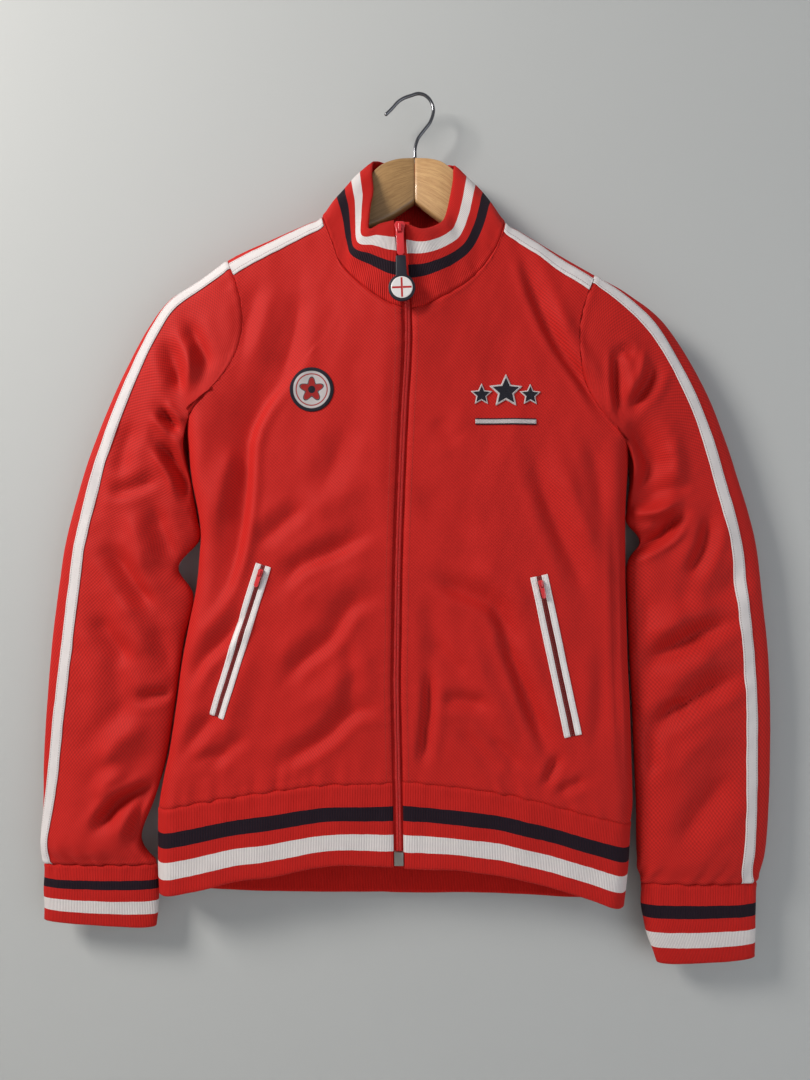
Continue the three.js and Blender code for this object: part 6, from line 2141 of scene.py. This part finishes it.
@dataclass
class Pocket:
    """A slanted pocket: two white welts, the zip between them, its slider and pull."""

    form: JacketForm
    wardrobe: Wardrobe
    side: Side
    top: Point2
    bottom: Point2
    welt: float
    gap: float
    steps: int = 90
    lift: float = 0.25
    thick: float = 0.9
    crown: float = 0.3
    zip_thick: float = 0.6
    seam: float = 0.15
    teeth: Teeth = Teeth(pitch=1.1, half=1.5, gap=0.1, thick=0.45)
    coil_from: float = 13.0
    coil_short: float = 2.0

    @property
    def length(self) -> float:
        """Length of the pocket."""
        return float(np.hypot(*np.subtract(self.top, self.bottom)))

    def place(self, along: Array, across: Array) -> tuple[Array, Array]:
        """Points and normals of the front at mm down the pocket and across it."""
        up_x, up_z = np.subtract(self.top, self.bottom) / self.length
        x = self.top[0] - up_x * along + up_z * across
        z = self.top[1] - up_z * along - up_x * across
        return self.form.front_frame(x, z)

    def strip(self, name: str, low: float, high: float, thick: float, crown: float,
              finish: bpy.types.Material, slot: str) -> None:
        """Builds one strip along the pocket.

        Args:
            name: the CAD node's name.
            low: where it starts across the pocket.
            high: where it ends.
            thick: its thickness at the edges.
            crown: how much thicker it is in the middle.
            finish: its material.
            slot: the record's slot.
        """
        along = np.linspace(0.0, self.length, self.steps)[:, None]
        bases, normals = self.place(along, np.linspace(low, high, 9)[None])
        mesh = strip_on(name, bases, normals, self.lift, thick, crown)
        finish_piece(mesh.build((finish,)), "jacket", slot, name)

    def coil(self) -> None:
        """Builds the small coil along the pocket's zip."""
        def frame_at(places: Array) -> tuple[Array, ...]:
            """Directions at lengths down from the first turn."""
            points, out = self.place(places + self.coil_from, np.zeros_like(places))
            ahead, _ = self.place(places + self.coil_from + 1.0, np.zeros_like(places))
            along = unit(ahead - points)
            return points + out * (self.lift + self.zip_thick + 0.1), unit(np.cross(along, out)), along, out

        length = self.length - self.coil_from - self.coil_short
        piece = self.teeth.build(f"pocket_coil_{word(self.side)}", length, frame_at,
                                 self.wardrobe.pocket_coil)
        finish_piece(piece, "jacket", "zip_red")

    def build(self) -> None:
        """Builds the pocket."""
        near, far = self.gap / 2 + self.seam, self.gap / 2 + self.welt
        side, wardrobe = word(self.side), self.wardrobe
        for letter, low, high in (("a", -far, -near), ("b", near, far)):
            self.strip(f"pocket_welt_{letter}_{side}", low, high, self.thick, self.crown, wardrobe.welt,
                       "tape_white")
        inner = self.gap / 2 - self.seam
        self.strip(f"pocket_zip_{side}", -inner, inner, self.zip_thick, 0.0, wardrobe.pocket_zip, "zip_red")
        self.coil()
        for node, body in ((f"pocket_slider_{side}", "jacket"), (f"pocket_pull_{side}", f"{side}_pull")):
            finish_piece(bevelled_copy(node, wardrobe.gloss, 0.25), body, "gloss_red")


@dataclass
class Badges:
    """The round patch, the three stars and the bar, embroidered and sewn on."""

    form: JacketForm
    wardrobe: Wardrobe
    patch: Point3 = (-101.5, -316.5, 22.0)
    stars: tuple[tuple[str, float, float, float], ...] = (
        ("star_left", 71.5, -322.0, 11.5), ("star_middle", 96.5, -318.5, 18.0),
        ("star_right", 121.5, -322.0, 11.5),
    )
    star_inner: float = 0.46
    star_tips: int = 5
    star_points: int = 120
    star_blunt: float = 0.965
    bar: tuple[float, float, float, float] = (96.5, -349.0, 62.0, 6.0)
    bar_thick: Point2 = (0.7, 0.35)
    lift: float = 0.3
    thick: float = 1.1
    edge_from: float = 0.9
    edge_drop: float = 0.35

    def outlined(self, name: str, centre: Point2, radii: Array, finish: bpy.types.Material,
                 slot: str) -> None:
        """Builds a badge from its middle out to its outline.

        Args:
            name: the CAD node's name.
            centre: its X and Z.
            radii: distance of the outline from the middle, clockwise from the top.
            finish: its material.
            slot: the record's slot.
        """
        rings = np.concatenate((np.linspace(0.002, self.edge_from, 12), (0.96, 1.0)))
        angles = np.linspace(0.0, 2 * np.pi, len(radii), endpoint=False)
        far = radii[:, None] * rings[None]
        x, z = np.sin(angles)[:, None] * far, np.cos(angles)[:, None] * far
        bases, normals = self.form.front_frame(centre[0] + x, centre[1] + z)
        drop = self.edge_drop * np.maximum(rings - self.edge_from, 0.0) / (1.0 - self.edge_from)
        high = bases + normals * (self.lift + self.thick - drop)[None, :, None]
        flat = np.stack((x, z), axis=-1)
        share = np.broadcast_to(np.stack((rings, rings), axis=-1)[None], flat.shape)
        maps = {"cloth": np.concatenate((flat, flat[:1])), "share": np.concatenate((share, share[:1]))}
        mesh = SurfaceMesh(name, high, self.thick, lambda _: normals, ring=True, maps=maps,
                           inner=bases + normals * self.lift)
        piece = mesh.build((finish,))
        finish_piece(piece, "jacket", slot, name)

    def star_radii(self, radius: float) -> Array:
        """Distances of a star's outline, with slightly blunt points."""
        turns = np.linspace(0.0, self.star_tips, self.star_points, endpoint=False)
        half = np.pi / self.star_tips
        inner = radius * self.star_inner
        lean = np.arctan2(inner * np.sin(half), radius - inner * np.cos(half))
        turn = np.abs((turns + 0.5) % 1.0 - 0.5) * 2.0 * half
        return np.minimum(radius * np.sin(lean) / np.sin(lean + turn), radius * self.star_blunt)

    def build(self) -> None:
        """Builds all the badges."""
        x, z, radius = self.patch
        effects = self.wardrobe.effects
        sewn = {"roughness": 0.7, "bump": 0.0003}
        patch = Badge("badge_blossom", (222, 214, 214), motif=Motif.BLOSSOM, radius=radius, **sewn)
        self.outlined("chest_patch", (x, z), np.full(96, radius), patch.make(effects), "tape_white")
        star = Badge("badge_star", (222, 212, 212), motif=Motif.STAR, **sewn).make(effects)
        for name, star_x, star_z, star_radius in self.stars:
            self.outlined(name, (star_x, star_z), self.star_radii(star_radius), star, "star_navy")
        bar_x, bar_z, length, height = self.bar
        across = np.linspace(-length / 2, length / 2, 40)[:, None] + bar_x
        down = bar_z + np.linspace(-height / 2, height / 2, 9)[None]
        bases, normals = self.form.front_frame(across, down)
        finish = Badge("badge_bar", (222, 212, 212), motif=Motif.BAR, **sewn).make(effects)
        piece = strip_on("star_bar", bases, normals, self.lift, *self.bar_thick).build((finish,))
        finish_piece(piece, "jacket", "tape_white", "star_bar")


@dataclass
class Hanger:
    """The wooden hanger and its wire hook."""

    form: JacketForm
    wardrobe: Wardrobe
    half_thick: float = 6.5
    length: float = 215.0
    tip_round: float = 6.0
    tip_length: float = 12.0
    head_crown: float = 3.0
    arm_crown: float = 10.0
    wire: float = 3.6

    def section(self, reach: Array, sign: int) -> Array:
        """Sections of an arm.

        Args:
            reach: distances from the hanger's middle.
            sign: -1 for the left arm and 1 for the right.

        Returns:
            Rings of points, one for each distance.
        """
        x = self.form.hanger_x + sign * reach
        drop = self.tip_round * ease((reach - self.length + self.tip_length) / self.tip_length)
        clear = self.form.shoulder_z(x) - Curve(WOOD_CLEAR).value(reach)
        top = np.minimum(Curve(HEAD_TOP).value(reach), clear) - drop
        mirrored = self.form.shoulder_z(2 * self.form.hanger_x - x)
        low = Curve(ARM_BOTTOM).value(reach) + (self.form.shoulder_z(x) - mirrored) / 2 * ease(reach / 60)
        crown = mix(self.head_crown, self.arm_crown, ease((reach - 30) / 40))
        y = -self.form.arm_forward * (1 - np.exp(-np.abs(x - self.form.hanger_x) / self.form.arm_curve))
        round_top = np.linspace(-1.0, 1.0, 13)
        rise = np.sqrt(np.maximum(1.0 - np.abs(round_top) ** 2.2, 0.0)) - 1.0
        outline = [(share, lift, 0) for share, lift in zip(round_top, rise)]
        outline += [(1.0, 5.0, 1), (0.96, 2.2, 1), (0.75, 0.5, 1), (0.4, 0.0, 1), (-0.4, 0.0, 1),
                    (-0.75, 0.5, 1), (-0.96, 2.2, 1), (-1.0, 5.0, 1)]
        rings = []
        for share, lift, under in outline:
            z = low + lift if under else top + crown * lift
            rings.append(np.stack((x, y + share * self.half_thick, z), axis=-1))
        return np.stack(rings, axis=1)

    def arm(self, name: str, sign: int) -> None:
        """Builds one arm.

        Args:
            name: the CAD node's name.
            sign: -1 for the left arm and 1 for the right.
        """
        reach = np.concatenate(((0.15, 0.6), np.linspace(3.0, self.length - self.tip_length, 60),
                                self.length - self.tip_length * (1 - np.sin(np.linspace(0, 1.5, 7)[1:]))))
        rings = self.section(reach, sign)
        ends = rings.mean(axis=1, keepdims=True)
        taper = np.ones(len(reach))
        taper[0], taper[-2:] = 0.94, (0.8, 0.4)
        rings = ends + (rings - ends) * taper[:, None, None]
        count = rings.shape[1]
        vertices = np.concatenate((rings.reshape(-1, 3), ends[0], ends[-1]))
        ring, side = np.meshgrid(np.arange(len(reach) - 1), np.arange(count), indexing="ij")
        ring, side = ring.ravel(), side.ravel()
        after = (side + 1) % count
        faces = np.stack((ring * count + side, ring * count + after, (ring + 1) * count + after,
                          (ring + 1) * count + side), axis=1)
        last = (len(reach) - 1) * count
        flat = np.arange(count)
        hubs = len(rings) * count
        near = np.stack((np.full(count, hubs), flat, (flat + 1) % count, (flat + 1) % count), axis=1)
        far = np.stack((np.full(count, hubs + 1), last + flat, last + (flat + 1) % count,
                        last + (flat + 1) % count), axis=1)
        work = bmesh.new()
        points = [work.verts.new(point * MM) for point in vertices]
        layer = work.loops.layers.uv.new("cloth")
        around = np.linspace(0.0, 60.0, count)
        for corners in np.concatenate((faces, near, far)):
            unique = list(dict.fromkeys(int(corner) for corner in corners))
            face = work.faces.new([points[corner] for corner in unique])
            face.smooth = True
            for loop, corner in zip(face.loops, unique):
                column = min(corner // count, len(reach) - 1)
                loop[layer].uv = (float(reach[column]) * sign + 300.0, float(around[corner % count]))
        bmesh.ops.recalc_face_normals(work, faces=work.faces)
        mesh = bpy.data.meshes.new(name)
        work.to_mesh(mesh)
        work.free()
        finish_piece(shown(name, mesh, (self.wardrobe.woods[sign],)), "jacket", "wood", name)

    def hook(self) -> None:
        """Builds the hook's wire with a rounded tip."""
        share = np.concatenate((np.linspace(0.0, 0.985, 110), (0.992, 0.997, 1.0)))
        thin = np.concatenate((np.ones(110), (0.9, 0.62, 0.06)))
        flat = Path(HOOK).at(share)
        ahead = unit(np.gradient(flat, axis=0))
        angles = np.linspace(0.0, 2 * np.pi, 20, endpoint=False)
        side = np.stack((-ahead[:, 1], np.zeros(len(flat)), ahead[:, 0]), axis=-1)
        line = np.stack((flat[:, 0], np.zeros(len(flat)), flat[:, 1]), axis=-1)
        radius = (self.wire / 2 * thin)[:, None, None]
        rings = (line[:, None] + side[:, None] * np.cos(angles)[None, :, None] * radius
                 + np.array((0.0, 1.0, 0.0)) * np.sin(angles)[None, :, None] * radius)
        points = np.swapaxes(rings, 0, 1)
        run = arc(points, 1).mean(axis=0)
        flat_map = np.stack(np.broadcast_arrays(run[None], angles[:, None] * self.wire / 2), axis=-1)
        maps = {"cloth": np.concatenate((flat_map, flat_map[:1]))}
        inner = line[None] + (points - line[None]) * 0.02
        mesh = SurfaceMesh("hanger_hook", points, 1.0, away_from_line(line), ring=True, maps=maps,
                           inner=inner, rim=0.0)
        finish_piece(mesh.build((self.wardrobe.wire,)), "jacket", "wire", "hanger_hook")

    def build(self) -> None:
        """Builds the hanger."""
        self.arm("hanger_arm_left", -1)
        self.arm("hanger_arm_right", 1)
        self.hook()


def away_from_line(line: Array) -> Callable[[Array], Array]:
    """Directions of a tube's points away from its middle line."""
    return lambda points: points - line[None]


@dataclass(frozen=True)
class Lamp:
    """A soft square light: its place and aim in mm, its power in watts, its side in metres."""

    name: str
    at: Point3
    aim: Point3
    power: float
    size: float
    colour: Colour


@dataclass
class Studio:
    """Camera, soft lights, the pale wall behind and the pale floor below."""

    camera_at: Point3 = (-6.4, -860.0, -470.0)
    lens: float = 27.0
    wall_y: float = 26.0
    floor_z: float = -1450.0
    wall: Colour = (186, 188, 187)
    floor: Colour = (206, 205, 203)
    wide: float = 2600.0
    high: float = 1300.0
    floor_y: Point2 = (-3000.0, 2200.0)
    air: Colour = (226, 230, 234)
    air_strength: float = 0.36
    lamps: tuple[Lamp, ...] = (
        Lamp("key", (-1500.0, -1050.0, 620.0), (0.0, 0.0, -420.0), 42.0, 0.6, (255, 250, 244)),
        Lamp("fill", (1300.0, -1500.0, -700.0), (100.0, 0.0, -600.0), 8.5, 1.6, (240, 246, 255)),
        Lamp("behind", (300.0, 1900.0, 500.0), (0.0, 0.0, -450.0), 26.0, 1.6, (255, 252, 248)),
    )

    def camera(self) -> None:
        """Sets the camera that the photograph's view needs."""
        data = bpy.data.cameras.new("camera")
        data.lens = self.lens
        data.sensor_width = 36.0
        data.clip_start, data.clip_end = 0.05, 20.0
        camera = bpy.data.objects.new("camera", data)
        camera.location = [value * MM for value in self.camera_at]
        camera.rotation_euler = (math.radians(90.0), 0.0, 0.0)
        bpy.context.scene.collection.objects.link(camera)
        bpy.context.scene.camera = camera

    def plain(self, name: str, colour: Colour, see_behind: bool) -> bpy.types.Material:
        """A plain paint; seen from behind it can vanish.

        Args:
            name: the material's name.
            colour: its colour.
            see_behind: whether its back side is clear.

        Returns:
            The material.
        """
        material = bpy.data.materials.new(name)
        material.use_nodes = True
        tree = Tree(material.node_tree)
        shader = material.node_tree.nodes["Principled BSDF"]
        shader.inputs["Roughness"].default_value = 0.9
        noise = tree.add("TexNoise", {"Vector": tree.add("TexCoord").outputs["Object"], "Scale": 2.0})
        tone = tree.math("MULTIPLY_ADD", noise.outputs[0], 0.06, 0.97)
        colour_node = tree.add("HueSaturation", {"Value": tone, "Color": linear(colour)})
        tree.feed(shader.inputs["Base Color"], colour_node.outputs[0])
        if see_behind:
            behind = tree.add("NewGeometry").outputs["Backfacing"]
            clear = tree.add("BsdfTransparent")
            choice = tree.add("MixShader", {0: behind, 1: shader.outputs[0], 2: clear.outputs[0]})
            tree.feed(material.node_tree.nodes["Material Output"].inputs["Surface"], choice.outputs[0])
        return material

    def plane(self, name: str, corners: Sequence[Point3],
              material: bpy.types.Material) -> None:
        """A flat stage piece from its four corners in mm."""
        mesh = mesh_from(name, np.array(corners, dtype=float), np.array([[0, 1, 2, 3]]), {})
        shown(name, mesh, (material,))

    def light(self, lamp: Lamp) -> None:
        """Puts a soft square light into the scene."""
        data = bpy.data.lights.new(lamp.name, "AREA")
        data.energy, data.size = lamp.power, lamp.size
        data.color = linear(lamp.colour)[:3]
        light = bpy.data.objects.new(lamp.name, data)
        light.location = [value * MM for value in lamp.at]
        light.rotation_euler = (Vector(lamp.aim) - Vector(lamp.at)).to_track_quat("-Z", "Y").to_euler()
        bpy.context.scene.collection.objects.link(light)

    def build(self) -> None:
        """Builds the studio."""
        self.camera()
        wide, foot, (near, far) = self.wide, self.floor_z, self.floor_y
        wall = [(x, self.wall_y, z) for x, z in ((-wide, foot), (wide, foot), (wide, self.high),
                                                 (-wide, self.high))]
        floor = [(x, y, foot) for x, y in ((-wide, near), (wide, near), (wide, far), (-wide, far))]
        self.plane("studio_wall", wall, self.plain("wall_paint", self.wall, True))
        self.plane("studio_floor", floor, self.plain("floor_paint", self.floor, False))
        for lamp in self.lamps:
            self.light(lamp)
        world = bpy.data.worlds.new("soft_light")
        world.use_nodes = True
        background = world.node_tree.nodes["Background"]
        background.inputs["Color"].default_value = linear(self.air)
        background.inputs["Strength"].default_value = self.air_strength
        bpy.context.scene.world = world
        bpy.context.scene.view_settings.view_transform = "Standard"


def main() -> None:
    """Builds the jacket piece by piece, then the studio round it."""
    logging.basicConfig(level=logging.INFO, format="%(name)s: %(message)s")
    form = JacketForm().seated()
    wardrobe = Wardrobe()
    fronts = Body(form, wardrobe).build()
    left_cuff = ((Dye.RED, 21.5), (Dye.NAVY, 13.0), (Dye.RED, 15.5), (Dye.WHITE, 16.0), (Dye.RED, 16.0))
    right_cuff = ((Dye.RED, 23.0), (Dye.NAVY, 14.0), (Dye.RED, 14.5), (Dye.WHITE, 15.0), (Dye.RED, 15.5))
    Sleeve(form, LEFT, wardrobe, left_cuff, (0.36, 0.56), (0.25, 0.082)).build()
    Sleeve(form, RIGHT, wardrobe, right_cuff, (0.36, 0.56), (0.25, 0.082)).build()
    Ribs(form, wardrobe).build()
    ShoulderTape(LEFT, wardrobe).build(fronts[Side.LEFT])
    ShoulderTape(RIGHT, wardrobe).build(fronts[Side.RIGHT])
    FrontZip(form, wardrobe).build()
    Pocket(form, wardrobe, Side.LEFT, (-151.5, -496.0), (-200.0, -651.5), 5.6, 4.6).build()
    Pocket(form, wardrobe, Side.RIGHT, (130.5, -507.0), (166.0, -671.0), 6.2, 5.4).build()
    Badges(form, wardrobe).build()
    Hanger(form, wardrobe).build()
    Studio().build()


if __name__ == "__main__":
    main()
